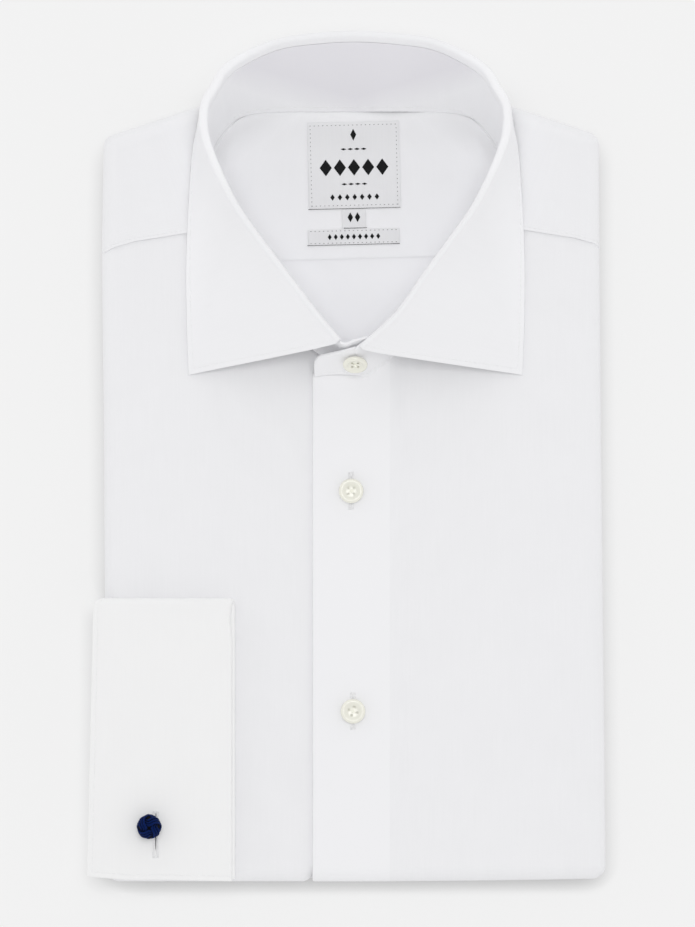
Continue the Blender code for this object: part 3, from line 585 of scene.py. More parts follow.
def cloth(name, sheet, finish, nodes, wall, round_edge=0.0, slot="white_cotton"):
    """The finished object of a sheet, with its thickness and its edges rounded."""
    obj = piece(name, sheet.mesh(), finish, nodes, slot)
    solidify = obj.modifiers.new("Wall", "SOLIDIFY")
    solidify.thickness = wall
    solidify.offset = 0.0
    if round_edge:
        bevel = obj.modifiers.new("Edge", "BEVEL")
        bevel.width = round_edge
        bevel.segments = 2
        bevel.limit_method = "ANGLE"
        bevel.angle_limit = math.radians(50)
    return obj


def bead(bm, matrix, around=6, along=4):
    """A unit ball, shaped and placed by a matrix."""
    bmesh.ops.create_uvsphere(bm, u_segments=around, v_segments=along, radius=1.0, matrix=matrix)


def sew(name, paths, pitch, thread, finish, fill=0.78):
    """A seam: a slim stitch every pitch along each path of points and normals."""
    bm = bmesh.new()
    for path in paths:
        reach = 0.0
        for (a, up_a), (b, up_b) in zip(path, path[1:]):
            stretch = (b - a).length
            while reach < stretch:
                t = reach / stretch
                along = (b - a).normalized()
                up = up_a.lerp(up_b, t).normalized()
                side = up.cross(along).normalized()
                axes = (along * pitch * fill * 0.5, side * thread, up * thread)
                turn = Matrix(axes).transposed().to_4x4()
                turn.translation = a.lerp(b, t)
                bead(bm, METRES @ turn)
                reach += pitch
            reach -= stretch
    return piece(name, bm, finish, sharp=180.0)


def topstitch(name, paths):
    sizes = bpy.context.scene.shirt_sizes
    sew(name, paths, sizes.stitch_pitch / MM, sizes.thread / MM, "sewing_thread")


def cutter(ring, low, high):
    """A bmesh over a ring of x, y points, from low to high."""
    cut = bmesh.new()
    made = bmesh.ops.create_circle(cut, cap_ends=True, segments=len(ring), radius=1.0)
    for vertex, (x, y) in zip(made["verts"], ring):
        vertex.co = Vector((x, y, low)) * MM
    top = bmesh.ops.extrude_face_region(cut, geom=list(cut.faces))["geom"]
    raised = [item for item in top if isinstance(item, bmesh.types.BMVert)]
    bmesh.ops.translate(cut, verts=raised, vec=(0.0, 0.0, (high - low) * MM))
    return cut


def cut_out(obj, cut):
    """Takes a bmesh out of a piece and keeps the result as its mesh."""
    bmesh.ops.recalc_face_normals(cut, faces=cut.faces)
    other = object_of("cutter", cut)
    taken = obj.modifiers.new("Cut", "BOOLEAN")
    taken.object, taken.operation, taken.solver = other, "DIFFERENCE", "EXACT"
    graph = bpy.context.evaluated_depsgraph_get()
    finished = bpy.data.meshes.new_from_object(obj.evaluated_get(graph))
    obj.modifiers.clear()
    obj.data = finished
    bpy.data.objects.remove(other)


# ---------------------------------------------------------------- materials


def shader(name, colour, roughness):
    """A material, its nodes and its Principled shader."""
    material = bpy.data.materials.new(name)
    material.use_nodes = True
    principled = material.node_tree.nodes["Principled BSDF"]
    dial(principled, Base_Color=(*colour, 1.0), Roughness=roughness)
    return material, material.node_tree, principled


def dial(made, **values):
    """Sets a node's properties and inputs by name."""
    for key, value in values.items():
        if hasattr(made, key):
            setattr(made, key, value)
        else:
            made.inputs[key.replace("_", " ")].default_value = value
    return made


def node(tree, kind, feeds=(), **values):
    """A node with its properties and inputs set by name, fed by (input, socket) pairs."""
    made = dial(tree.nodes.new("ShaderNode" + kind), **values)
    for key, socket in feeds:
        tree.links.new(socket, made.inputs[key])
    return made


def tinted(tree, factor, low, high):
    """Mixes the base colour by a factor, from low, or from what it was, to high."""
    base = tree.nodes["Principled BSDF"].inputs["Base Color"]
    mix = node(tree, "Mix", [("Factor", factor)], data_type="RGBA", B=(*high, 1.0))
    if low is None:
        tree.links.new(base.links[0].from_socket, mix.inputs["A"])
    else:
        mix.inputs["A"].default_value = (*low, 1.0)
    tree.links.new(mix.outputs["Result"], base)


def bumped(tree, height, strength, distance):
    bump = node(tree, "Bump", [("Height", height)], Strength=strength, Distance=distance)
    tree.links.new(bump.outputs["Normal"], tree.nodes["Principled BSDF"].inputs["Normal"])


def cloth_uv(tree):
    return node(tree, "UVMap", uv_map="cloth").outputs["UV"]


def mottled(tree, scale, detail, distortion=0.0):
    """Noise on the object's coordinates."""
    feeds = [("Vector", node(tree, "TexCoord").outputs["Object"])]
    made = node(tree, "TexNoise", feeds, Scale=scale, Detail=detail, Distortion=distortion)
    return made.outputs["Fac"]


def times(colour, share):
    return [min(c * share, 1.0) for c in colour]


def woven(name, colour, pitch, relief, contrast=0.03, sheen=0.12, roughness=0.85):
    """Plain-woven cloth: warp and weft on the cloth's own UV, with thin and thick yarns."""
    material, tree, principled = shader(name, colour, roughness)
    uv = cloth_uv(tree)
    scale = (1.0 / pitch, 1.0 / pitch, 1.0)
    place = node(tree, "Mapping", [("Vector", uv)], Scale=scale).outputs["Vector"]
    threads = [
        node(
            tree,
            "TexWave",
            [("Vector", place)],
            wave_type="BANDS",
            bands_direction=direction,
            Scale=math.tau / 20.0,
            Distortion=0.4,
            Detail=1.0,
        ).outputs["Fac"]
        for direction in ("X", "Y")
    ]
    cross = node(tree, "Math", enumerate(threads), operation="MAXIMUM")
    yarns = node(tree, "Mapping", [("Vector", uv)], Scale=(1400.0, 40.0, 1.0)).outputs["Vector"]
    noises = [
        node(tree, "TexNoise", [("Vector", source)], Scale=size, Detail=detail).outputs["Fac"]
        for source, size, detail in ((yarns, 1.0, 2.0), (uv, 55.0, 3.0))
    ]
    both = node(tree, "Math", enumerate(noises), operation="ADD")
    tone = node(tree, "Math", [(0, both.outputs["Value"])], operation="MULTIPLY")
    tone.inputs[1].default_value = 0.5
    low, high = times(colour, 1.0 - contrast), times(colour, 1.0 + contrast)
    tinted(tree, tone.outputs["Value"], low, high)
    bumped(tree, cross.outputs["Value"], 0.35, relief)
    dial(principled, Sheen_Weight=sheen, Sheen_Roughness=0.5, Specular_IOR_Level=0.25)
    return material


def toned(material, colour, weights, start, end, middle=COLLAR_X):
    """Another tone where the weighted distances from the middle pass from start to end."""
    tree = material.node_tree
    socket, output = node(tree, "TexCoord").outputs["Object"], "Vector"
    for operation, second in (
        ("SUBTRACT", (middle * MM, 0.0, 0.0)),
        ("ABSOLUTE", None),
        ("DOT_PRODUCT", weights),
    ):
        made = node(tree, "VectorMath", [(0, socket)], operation=operation)
        if second:
            made.inputs[1].default_value = second
        if operation == "DOT_PRODUCT":
            output = "Value"
        socket = made.outputs[output]
    share = node(tree, "MapRange", [("Value", socket)], From_Min=start * MM, From_Max=end * MM)
    tinted(tree, share.outputs["Result"], None, colour)


def thread_finish(name, colour, roughness, **values):
    """Twisted thread."""
    _, tree, principled = shader(name, colour, roughness)
    tinted(tree, mottled(tree, 3000.0, 1.0), times(colour, 0.9), times(colour, 1.08))
    dial(principled, Sheen_Weight=0.2, **values)


def silk_finish(name, colour):
    """Silk cord: fine plies wound round it, with a low sheen, and painted shade where two cords meet.
    """
    _, tree, principled = shader(name, colour, 0.45)
    lay = (0.0, 0.0, math.radians(38))
    twist = node(tree, "Mapping", [("Vector", cloth_uv(tree))], Rotation=lay).outputs["Vector"]
    wave = {"wave_type": "BANDS", "Scale": 900.0, "Distortion": 1.5, "Detail": 2.0}
    plies = node(tree, "TexWave", [("Vector", twist)], **wave).outputs["Fac"]
    # Painted shade: ambient occlusion darkens the cord's colour where two cords meet and leaves the
    # open tops of the cords lighter
    painted_crevice_shade = node(tree, "AmbientOcclusion", Distance=0.0011).outputs["AO"]
    clear = node(tree, "Math", [(0, painted_crevice_shade)], operation="POWER")
    clear.inputs[1].default_value = 2.2
    feeds = enumerate((plies, clear.outputs["Value"]))
    depth = node(tree, "Math", feeds, operation="MULTIPLY").outputs["Value"]
    tinted(tree, depth, times(colour, 0.05), times(colour, 6.5))
    bumped(tree, plies, 0.8, 0.00012)
    tint = (0.25, 0.35, 0.7, 1.0)
    dial(principled, Specular_IOR_Level=0.05, Sheen_Weight=0.01, Sheen_Tint=tint)


def button_finish(name, colour):
    """Polished cream button, cloudy as trocas shell is."""
    _, tree, principled = shader(name, colour, 0.22)
    green, warm = [
        [c * share for c, share in zip(colour, shares)]
        for shares in ((0.97, 0.98, 0.94), (1.03, 1.01, 1.01))
    ]
    tinted(tree, mottled(tree, 260.0, 3.0, 1.2), green, warm)
    dial(principled, Coat_Weight=0.4, Coat_Roughness=0.08)


def finishes():
    """The shirt's materials, made once."""
    if "white_shirting" in bpy.data.materials:
        return bpy.data.materials
    colours, weave = bpy.context.scene.shirt_colours, bpy.context.scene.shirt_sizes.weave
    cotton, label = colours.cotton, colours.label
    outer = woven("white_shirting", cotton, weave, 0.00004)
    half = PLACKET_WIDTH / 2  # the facing behind the closing edge makes the cloth there whiter
    placket = (-half - 0.3, -half + 0.1, PLACKET_EDGE + half)
    toned(outer, times(cotton, 1.03), (-1.0, 0.0, 0.0), *placket)
    # Painted light and shade inside the neck: the inner cloth is lighter than the cotton, and lighter
    # still towards the front of the opening, to lift the shade there; it is darker towards the neck
    # seam at the back corners, as painted shade by the collar's wall
    inner = woven("inner_shirting", times(cotton, 1.02), weave, 0.00004)
    toned(inner, times(cotton, 1.11), (0.0, -1.0, 0.0), -126.0, -80.0)
    toned(inner, times(cotton, 0.95), (0.6, 0.8, 0.0), 137.0, 146.0)
    # Painted light: the collar cloth is a little lighter than the cotton, and lighter again towards its
    # sides, where the leaf falls steeply
    collar = woven("collar_shirting", times(cotton, 1.015), weave, 0.00003, 0.02)
    toned(collar, times(cotton, 1.05), (1.0, 0.25, 0.0), 82.0, 96.0)
    # Painted light and shade on the band: lighter than the cotton at its sides and front, and turning
    # to the darker shade colour towards the back, where its inside lies in shade
    band = woven("band_shirting", times(cotton, 1.04), weave, 0.00003, 0.02)
    toned(band, colours.band, (-0.9, 3.0, 0.0), 445.0, 480.0)
    woven("cuff_shirting", colours.cuff, weave, 0.00003, 0.02)
    woven("label_cloth", label, 0.0004, 0.00006, 0.04, sheen=0.3, roughness=0.55)
    thread_finish("sewing_thread", colours.thread, 0.7)
    thread_finish("button_thread", colours.button_thread, 0.6)
    thread_finish("border_thread", times(label, 0.3), 0.6)
    thread_finish("label_thread", colours.label_mark, 0.8, Specular_IOR_Level=0.1)
    silk_finish("silk_cord", colours.silk)
    button_finish("shell_button", colours.button)
    return bpy.data.materials


# ---------------------------------------------------------------- fronts

# Stations of a cloth past the start of its fold: turn, straight drop, tuck turn, tuck depth
FOLD_STATIONS = 8
ROLL_STATIONS = (
    [(QUARTER * k / FOLD_STATIONS, 0.0, 0.0, 0.0) for k in range(FOLD_STATIONS + 1)]
    + [(QUARTER, share, 0.0, 0.0) for share in (0.35, 0.7, 1.0)]
    + [(QUARTER, 1.0, QUARTER * k / 3, 0.0) for k in (1, 2, 3)]
    + [(QUARTER, 1.0, QUARTER, 1.0)]
)
LAST_STATION = len(ROLL_STATIONS) - 1
STATION_WIDTH = 1.1  # how far along its seam each station over the side fold lies


def roll_at(station, radius, drop):
    """How far out and down a station lies from the flat cloth's end."""
    turn, straight, tuck, depth = ROLL_STATIONS[station]
    fall = max(drop - radius - TUCK_ROUND, 0.0)
    out = radius * math.sin(turn) - TUCK_ROUND * (1.0 - math.cos(tuck)) - TUCK_DEPTH * depth
    return out, radius * (1.0 - math.cos(turn)) + fall * straight + TUCK_ROUND * math.sin(tuck)


def wrapped(x, y, z, side_station, end_station, side, end, radius):
    """The point of a cloth at a station over its side fold and one over its end fold.

    Where it goes over both, the corner is turned in a fan, so that it stays round without a pleat.
    """
    past = max(side_station, end_station)
    if past == 0:
        return Vector((x, y, z))
    if side_station >= end_station:
        share = 0.5 * end_station / side_station
    else:
        share = 1.0 - 0.5 * side_station / end_station
    towards = Vector((side, 0.0, 0.0)).slerp(end, share)
    out, down = roll_at(past, radius, z - WRAP_END)
    return Vector((x, y, z - down)) + towards * out


def swell(x, y):
    """The soft creases and unevenness of the body's top, fading towards its folds."""
    fade = 1.0
    for inside in (
        edge_x(1, y) - CORNER - x,
        x - edge_x(-1, y) - CORNER,
        y - BOTTOM - CORNER,
        shoulder_y(x) - CORNER - y,
    ):
        fade *= smooth(inside / SWELL_FADE)
    return (creased(FRONT_CREASES, x, y) + uneven(x, y, 42.0, 0.3)) * fade


def front_sheet(side, wall):
    """One front: i from its free edge to the side fold, j from the bottom fold to its top edge."""
    middle = FRONT_TOP - wall / 2
    laps = side > 0
    start = []
    free = UNDER_EDGE
    if laps:
        free = PLACKET_EDGE + PLACKET_ROUND
        start = [(hidden, 2 * PLACKET_ROUND) for hidden in FACING_HIDDEN]
        for k in range(8):
            turn = math.pi * (1.5 - k / 8)
            down = PLACKET_ROUND * (1.0 - math.sin(turn))
            start.append((PLACKET_ROUND * math.cos(turn), down))
    heads, flats, rows = len(start), 72, 110

    def where(i, j):
        side_station = max(0, i - heads - flats)
        end_station = max(0, LAST_STATION - j)
        share = min(max(i - heads, 0), flats) / flats
        x, down = between(free, edge_x(side, 0.0) - side * CORNER, share), 0.0
        if i < heads:
            x, down = free + start[i][0], start[i][1]
        w = (x - COLLAR_X) * side
        neck_end = YOKE_SEAM[0].w
        if w < neck_end:
            high = read(FRONT_NECK, "w", "y", w if laps else abs(w))
            seam = None
        else:
            seam = seam_y(side, w + side_station * STATION_WIDTH)
            high = seam + 3.0 * smooth((w - neck_end) / 6.0)
        tuck = 0.0 if laps else LAP_RISE * smooth((x + 18.8) / 3.4)
        low = bottom_y(x) + CORNER + tuck
        y = between(low, high, max(0, j - LAST_STATION) / (rows - LAST_STATION))
        if i >= heads:
            x = between(free, edge_x(side, y) - side * CORNER, share)
        z = middle - down + (lap_rise(x) if laps else 0.0)
        if side_station == 0 and end_station == 0:
            z += swell(x, y)
        if seam:
            z -= UNDER_YOKE * smooth((y - seam + 3.5) / 3.0)
        elif laps:
            near = smooth((y - high) / NECK_RISE_LENGTH + 1.0)
            z += NECK_RISE * near * smooth((34.0 - w) / 14.0)
        radius = CORNER - wall / 2 - down
        return wrapped(x, y, z, side_station, end_station, side, Vector((0.0, -1.0, 0.0)), radius)

    return Sheet(heads + flats + LAST_STATION, rows, where, mirrored=side < 0)


class SHIRT_OT_fronts(bpy.types.Operator):
    """Both fronts, with the folded facing at the closing edge"""

    bl_idname = "shirt.fronts"
    bl_label = "Fronts"

    def execute(self, context):
        thick = context.scene.shirt_sizes.cloth
        cuts = (
            ("front_left", 1, (0.157, 0.305), 0.0411),
            ("front_right", -1, (0.140, 0.305), 0.0369),
        )
        for name, side, flat, area in cuts:
            sheet = front_sheet(side, thick / MM)
            front = cloth(name + "_cloth", sheet, "white_shirting", (name,), thick)
        return {"FINISHED"}


# ---------------------------------------------------------------- yoke and the inside of the neck


def yoke_sheet(wall, step):
    """Both shoulder flaps, wrapped over the top edge and joined behind the neck."""
    middle, radius = FRONT_TOP - wall / 2, CORNER - wall / 2
    half = [(k, None) for k in range(LAST_STATION, -1, -1)]
    edge_w = {side: abs(edge_x(side, 95.0) - COLLAR_X) - CORNER for side in (-1, 1)}
    for rows, count, first in ((YOKE_SIDE, 24, 0), (YOKE_NECK, 60, 1)):
        points = [Vector(row) for row in rows]
        half += [(0, spline(points, k / count)) for k in range(first, count + 1)]
    order = [(-1, *column) for column in half] + [(1, *column) for column in reversed(half[:-1])]
    flat_rows = 34
    rows = flat_rows + LAST_STATION

    def where(i, j):
        side, side_station, row = order[i]
        if row is None:
            low = seam_y(side, edge_w[side] + side_station * STATION_WIDTH)
            corner = shoulder_y(edge_x(side, SHOULDER)) - CORNER + 1.0
            x_low = edge_x(side, low) - side * CORNER
            x_high = edge_x(side, corner) - side * CORNER
            seam = 1.0
        else:
            low = row.y + seam_tilt(side, row.x) * smooth((106.0 - row.y) / 3.0)
            x_low, x_high = COLLAR_X + side * row.x, COLLAR_X + side * row.z
            seam = smooth((row.x - YOKE_TILT_START) / 2.0) * smooth((102.5 - row.y) / 2.0)
        flat = shoulder_y(x_high) - CORNER
        end = Vector((side * shoulder_slope(abs(x_high - COLLAR_X)), 1.0, 0.0)).normalized()
        if low > flat - 1.0:
            first = math.asin(min(max(low - flat, 0.0) / radius, 1.0)) / QUARTER * FOLD_STATIONS
            station = between(first, LAST_STATION, j / rows)
            a, b = int(station), min(int(station) + 1, LAST_STATION)
            low_out, low_down = roll_at(a, radius, middle - WRAP_END)
            high_out, high_down = roll_at(b, radius, middle - WRAP_END)
            down = between(low_down, high_down, station - a)
            point = Vector((x_high, flat, middle - down))
            point += end * between(low_out, high_out, station - a)
        else:
            end_station = max(0, j - flat_rows)
            share = (min(j, flat_rows) / flat_rows) ** 1.5
            y, x = between(low, flat, share), between(x_low, x_high, share)
            point = wrapped(x, y, middle, side_station, end_station, side, end, radius)
            if side_station == 0 and end_station == 0:
                point.z += swell(x, y)
            sunk = 0.5 * smooth((y - low) / 12.0) + 0.5 * smooth((y - low) / 2.2)
            point.z += step * seam * (1.0 - sunk)
        point.z = sink(point.x, point.y, point.z)
        return point

    return Sheet(len(order) - 1, rows, where)


def inner_z(x, y):
    """The middle of the cloth inside the neck: level, and rising to the neck seam at its rim."""
    sideways = max(read(RIM, "y", "w", y) - abs(x - COLLAR_X), 0.0)
    backwards = RIM_TOP - y
    near = smooth(1.0 - sideways / RIM_RAMP) ** 1.3 * smooth((y - RIM_START) / RIM_LENGTH)
    back = smooth(1.0 - backwards / RIM_RAMP_BACK) ** 1.3
    z = between(INNER_FLOOR, top_z(x, y) + RIM_LIFT, 1.0 - (1.0 - near) * (1.0 - back))
    z -= RIM_GROOVE * near * bell(sideways, 1.3, 0.5)
    calm = smooth(sideways / 16.0) * smooth(backwards / 10.0)
    return z + (creased(INNER_CREASES, x, y) + uneven(x, y, 26.0, 0.3, 9.0)) * calm


def neck_inside_sheet(low, high, lift):
    """Cloth in the neck from y = low to y = high, tilted where it ends at the seam inside."""
    columns, rows = 110, 60

    def where(i, j):
        u = math.sin(between(-1.0, 1.0, i / columns) * QUARTER)
        tilt = INNER_SEAM_TILT * u * 50.0
        first = low + (tilt if low > INNER_SEAM - 1.0 else 0.0)
        last = high + (tilt if high < INNER_SEAM + 6.0 else 0.0)
        y = between(first, last, j / rows)
        x = COLLAR_X + u * read(RIM, "y", "w", y)
        return x, y, inner_z(x, y) + lift

    return Sheet(columns, rows, where)


class SHIRT_OT_yoke(bpy.types.Operator):
    """The outer yoke with its lapped front seams"""

    bl_idname = "shirt.yoke"
    bl_label = "Outer yoke"

    def execute(self, context):
        sizes = context.scene.shirt_sizes
        thick = sizes.yoke_cloth
        sheet = yoke_sheet(thick / MM, sizes.seam_step / MM)
        yoke = cloth("yoke_outer_cloth", sheet, "white_shirting", ("yoke_outer",), thick, 0.00025)
        paths = []
        for first, last in ((3, 37), (sheet.columns - 37, sheet.columns - 3)):
            places = [(i, sheet.row_at(i, YOKE_STITCH_INSET)) for i in range(first, last + 1)]
            paths.append(sheet.path(places, thick / MM / 2))
        topstitch("yoke_stitching", paths)
        return {"FINISHED"}


class SHIRT_OT_neck_inside(bpy.types.Operator):
    """The inner yoke and the upper back, seen through the neck"""

    bl_idname = "shirt.neck_inside"
    bl_label = "Inner yoke and back"

    def execute(self, context):
        thick = context.scene.shirt_sizes.cloth
        sheet = neck_inside_sheet(INNER_SEAM, RIM_TOP, 0.0)
        inner = cloth("yoke_inner_cloth", sheet, "inner_shirting", ("yoke_inner",), thick, 0.0002)
        sheet = neck_inside_sheet(36.0, INNER_SEAM + 3.0, -0.55)
        back = cloth("back_cloth", sheet, "inner_shirting", ("back",), thick)
        return {"FINISHED"}


# ---------------------------------------------------------------- folded layers

FOLDED_LAYERS = table(
    "bottom top left right end shoulder",
    (0, 1.2, 8.6, 2.4, 2.2, 2.8), (1.2, 2.3, 8.2, 1.4, 0.9, 1.7), (2.3, 3.4, 8.4, 2.2, 1.6, 2.4),
    (3.4, 4.6, 1.8, 0.8, 2.4, 1), (4.6, 5.7, 1, 1.6, 1.9, 0.7), (5.7, 6.9, 1.4, 0.9, 0.8, 1.9),
    (6.9, 8, 0.7, 1.5, 1.4, 1.2), (8, 9.1, 1.9, 1.1, 0.6, 1.8),
)
LIP_ROUND = 1.1  # how far the lips draw back at their faces
CORE_TOP = 18
CORE_INSET = 2.5
CORE_END_INSET = 4.7
CORE_ROUND = 5
OUTLINE_CORNER = 8.2
POCKET_FLOOR = 10.3
POCKET = table(
    "w y",
    (0, 32.5), (9, 34), (27.5, 48.5), (42, 63.5), (54.5, 80), (66, 97.5), (70, 109.5), (71.5, 122),
    (71.5, 170), (0, 170),
)
# The back shows between the sides, which are folded in, and above the folded tail
UNDERSIDE = table(
    "w y",
    (0, -66), (40, -66.6), (45, -64.8), (46.2, -60), (42.5, 40), (36, 118), (30, 134), (14, 142),
    (0, 143),
)
UNDERSIDE_STEP = 0.7


def outline_ring(left, right, end, top, z, wave=0.0):
    """The folded outline moved in by left, right, end (bottom) and top (shoulders), with round
    corners. With a wave, it is uneven, and moved in far at the lower left only, for the sleeve."""
    xl, xr = edge_x(-1, BOTTOM) + left, edge_x(1, BOTTOM) - right
    xsr = edge_x(1, SHOULDER) - right
    clear_left = min(left, SLEEVE_CLEAR) if wave else left
    xsl = edge_x(-1, SHOULDER) + clear_left
    corners = [
        Vector((xl, BOTTOM + end, z)),
        Vector((xr, bottom_y(xr) + end, z)),
        Vector((xsr, shoulder_y(xsr) - top, z)),
        Vector((COLLAR_X + SHOULDER_WIDTH, SHOULDER - top, z)),
        Vector((COLLAR_X - SHOULDER_WIDTH, SHOULDER - top, z)),
        Vector((xsl, shoulder_y(xsl) - top, z)),
    ]
    round_corners = (0, 1, 2, 5)
    ring = []
    for k, point in enumerate(corners):
        before, after = corners[k - 1], corners[(k + 1) % len(corners)]
        leave = point
        if k in round_corners:
            a = (before - point).normalized() * OUTLINE_CORNER
            b = (after - point).normalized() * OUTLINE_CORNER
            ring += [point + a * (1 - t) ** 2 + b * t**2 for t in steps(0.0, 1.0, 8)]
            leave = point + b
        else:
            ring.append(point)
        arrive = after
        if (k + 1) % len(corners) in round_corners:
            arrive = after + (point - after).normalized() * OUTLINE_CORNER
        for t in steps(0.0, 1.0, 24)[1:-1]:
            spot = leave.lerp(arrive, t)
            if k == 1:
                spot.x = edge_x(1, spot.y) - right
            elif k == 5:
                inset = between(left, clear_left, smooth((spot.y + 66.0) / 10.0))
                spot.x = edge_x(-1, spot.y) + inset
            ring.append(spot)
    if wave:
        for k, spot in enumerate(ring):
            inwards = Vector((-spot.x, -spot.y, 0.0)).normalized()
            chance = noise.noise(Vector((spot.x, spot.y, z * 9.0)) / 31.0)
            ring[k] = spot + inwards * wave * (0.5 + 0.5 * chance)
    return ring


def both_sides(border):
    """The ring of a border given for its right half."""
    left = [(COLLAR_X - p.w, p.y) for p in reversed(border[1:-1])]
    return [(COLLAR_X + p.w, p.y) for p in border] + left


class SHIRT_OT_folded_layers(bpy.types.Operator):
    """The hidden layers: a rounded stack whose folded edges show all round"""

    bl_idname = "shirt.folded_layers"
    bl_label = "Folded layers"

    def execute(self, context):
        rings = []
        for layer in FOLDED_LAYERS:
            middle, half = (layer.bottom + layer.top) / 2, (layer.top - layer.bottom) / 2
            for t in (-0.97, -0.75, -0.4, 0.0, 0.4, 0.75, 0.97):
                back = LIP_ROUND * (1.0 - math.sqrt(1.0 - t * t))
                z = middle + half * t
                if not rings:
                    back, z = 0.5, 0.0
                insets = [n + back for n in (layer.left, layer.right, layer.end, layer.shoulder)]
                rings.append(outline_ring(*insets, z, 0.9))
        waist = (CORE_INSET, CORE_INSET, CORE_END_INSET, CORE_INSET)
        rings.append(outline_ring(*waist, 9.2))
        for turn in steps(0.0, QUARTER, 6):
            insets = [value + CORE_ROUND * (1.0 - math.cos(turn)) for value in waist]
            rings.append(outline_ring(*insets, CORE_TOP - CORE_ROUND * (1.0 - math.sin(turn))))
        for ring in rings:
            ring.append(ring[0])
        stack = Sheet(len(rings[0]) - 1, len(rings) - 1, lambda i, j: rings[j][i])
        bm = stack.mesh(closed=True)
        open_edges = [edge for edge in bm.edges if edge.is_boundary]
        uv = bm.loops.layers.uv["cloth"]
        for face in bmesh.ops.holes_fill(bm, edges=open_edges)["faces"]:
            for loop in face.loops:
                loop[uv].uv = loop.vert.co.xy
        bmesh.ops.recalc_face_normals(bm, faces=bm.faces)
        layers = piece("folded_layers_cloth", bm, "white_shirting", ("folded_layers",), "white_cotton")
        cut_out(layers, cutter(both_sides(POCKET), POCKET_FLOOR, 40.0))
        cut_out(layers, cutter(both_sides(UNDERSIDE), -5.0, UNDERSIDE_STEP))
        return {"FINISHED"}


# ---------------------------------------------------------------- collar


def collar_sections():
    """Neck, fold, edge and age, 0 at the back to 1 in front, of each section from end to end."""
    sections = []
    count = len(SECTIONS)
    for side, order in ((-1, range(count - 1, -1, -1)), (1, range(1, count))):
        for k in order:
            row = SECTIONS[k]
            lapped = LAPS[max(k - (count - len(LAPS)), 0)]
            shift = lapped.under if side < 0 else lapped.over
            aside = lapped.over_x if side > 0 else 0.0
            neck_x = COLLAR_X + side * row.neck_w
            lap = lap_rise(neck_x) if side > 0 else 0.0
            neck = Vector((neck_x, row.neck_y + shift, top_z(neck_x, row.neck_y) + lap))
            fold_x = COLLAR_X + side * row.fold_w + aside
            fold = Vector((fold_x, row.fold_y + shift, row.fold_z))
            edge = Vector((COLLAR_X + side * row.edge_w, row.edge_y, row.edge_z))
            sections.append((neck, fold, edge, k / (count - 1)))
    return sections


def collar_frame(sections, t):
    """At t along the collar: the neck, fold and edge points, the directions up the band and
    outwards, how far the leaf rises before it turns, and the place's age."""
    necks, folds, edges, ages = zip(*sections)
    neck, fold, edge = spline(necks, t), spline(folds, t), spline(edges, t)
    step = 0.01
    along = spline(folds, min(t + step, 1.0)) - spline(folds, max(t - step, 0.0))
    up = (fold - neck).normalized()
    out = up.cross(along).normalized()
    k = t * (len(ages) - 1)
    age = between(ages[int(k)], ages[min(int(k) + 1, len(ages) - 1)], k - int(k))
    return neck, fold, edge, up, out, read(ROLLS, "age", "rise", age), age


def band_sheet():
    """The stand: a ring on the neck seam whose two ends lap at the front."""
    sections = collar_sections()
    lows, tops = [[Vector(row[part]) for row in UNDER_END] for part in BAND_END_PARTS]
    for k in range(len(sections)):
        neck, fold, _, up, out, rise, age = collar_frame(sections, k / (len(sections) - 1))
        side = smooth((age - 0.15) / 0.2)
        lift = between(BAND_BACK.up, BAND_SIDE.up, side)
        lows.append(neck + up * lift + out * between(BAND_BACK.out, BAND_SIDE.out, side))
        tops.append(fold + out * LEAF_MIDDLE - up * (rise + BAND_SEAM))
    tops[-1] += up * OVER_TUCK.up - out * OVER_TUCK.out  # this end goes up inside the leaf's
    for line, part in zip((lows, tops), BAND_END_PARTS):
        line += [Vector(row[part]) for row in OVER_END]
    columns = 260
    heights = [0.0, 0.02, 0.045, 0.07] + steps(0.1, 0.9, 12) + [0.93, 0.955, 0.98, 1.0]

    def where(i, j):
        t = i / columns
        return spline(lows, t).lerp(spline(tops, t), heights[j])

    sheet = Sheet(columns, len(heights) - 1, where, mirrored=True)

    def soft(i, j, point):
        fade = smooth(j / 4.0) * smooth((sheet.rows - j) / 4.0)
        return creased(BAND_CREASES, point.x, point.y) * fade

    sheet.shape(soft)
    return sheet


def leaf_sheet():
    """The turned-down collar: up from the band's seam, over the fold and out to the points."""
    sections = collar_sections()
    ends = [0.0, 0.0018, 0.0036, 0.0052, 0.0062, 0.0072, 0.0084, 0.0104, 0.014]
    ts = ends + steps(0.018, 0.982, 210) + [1.0 - t for t in reversed(ends)]
    rises = (0.0, 0.35, 0.7)
    turns, falls = 10, 26
    rows = len(rises) + turns + falls + len(LEAF_EDGE_ROWS)
    frames = [collar_frame(sections, t) for t in ts]

    def where(i, j):
        _, fold, edge, up, out, rise, age = frames[i]
        roll = read(ROLLS, "age", "radius", age)
        inner = fold + out * LEAF_MIDDLE
        if j < len(rises):
            return inner - up * rise * (1.0 - rises[j])
        if j <= len(rises) + turns:
            turn = math.pi * (j - len(rises)) / turns
            return inner + out * roll * (1.0 - math.cos(turn)) + up * roll * math.sin(turn)
        start = inner + out * 2.0 * roll
        fall = edge - start
        k = j - len(rises) - turns
        if k <= falls:
            t = (1.0 - LEAF_EDGE_ROWS[0] / fall.length) * k / falls
        else:
            t = 1.0 - LEAF_EDGE_ROWS[k - falls] / fall.length
        straight = between(LEAF_LEAVE, LEAF_LEAVE_END, smooth((age - 0.72) / 0.28))
        leave = -up * fall.length * straight
        level = LEAF_LEVEL if edge.z > FRONT_TOP else 0.0
        arrive = Vector((fall.x, fall.y, fall.z * (1.0 - level)))
        return (
            start * (2 * t**3 - 3 * t**2 + 1)
            + leave * (t**3 - 2 * t**2 + t)
            + edge * (3 * t**2 - 2 * t**3)
            + arrive * (t**3 - t**2)
        )

    return Sheet(len(ts) - 1, rows - 1, where)


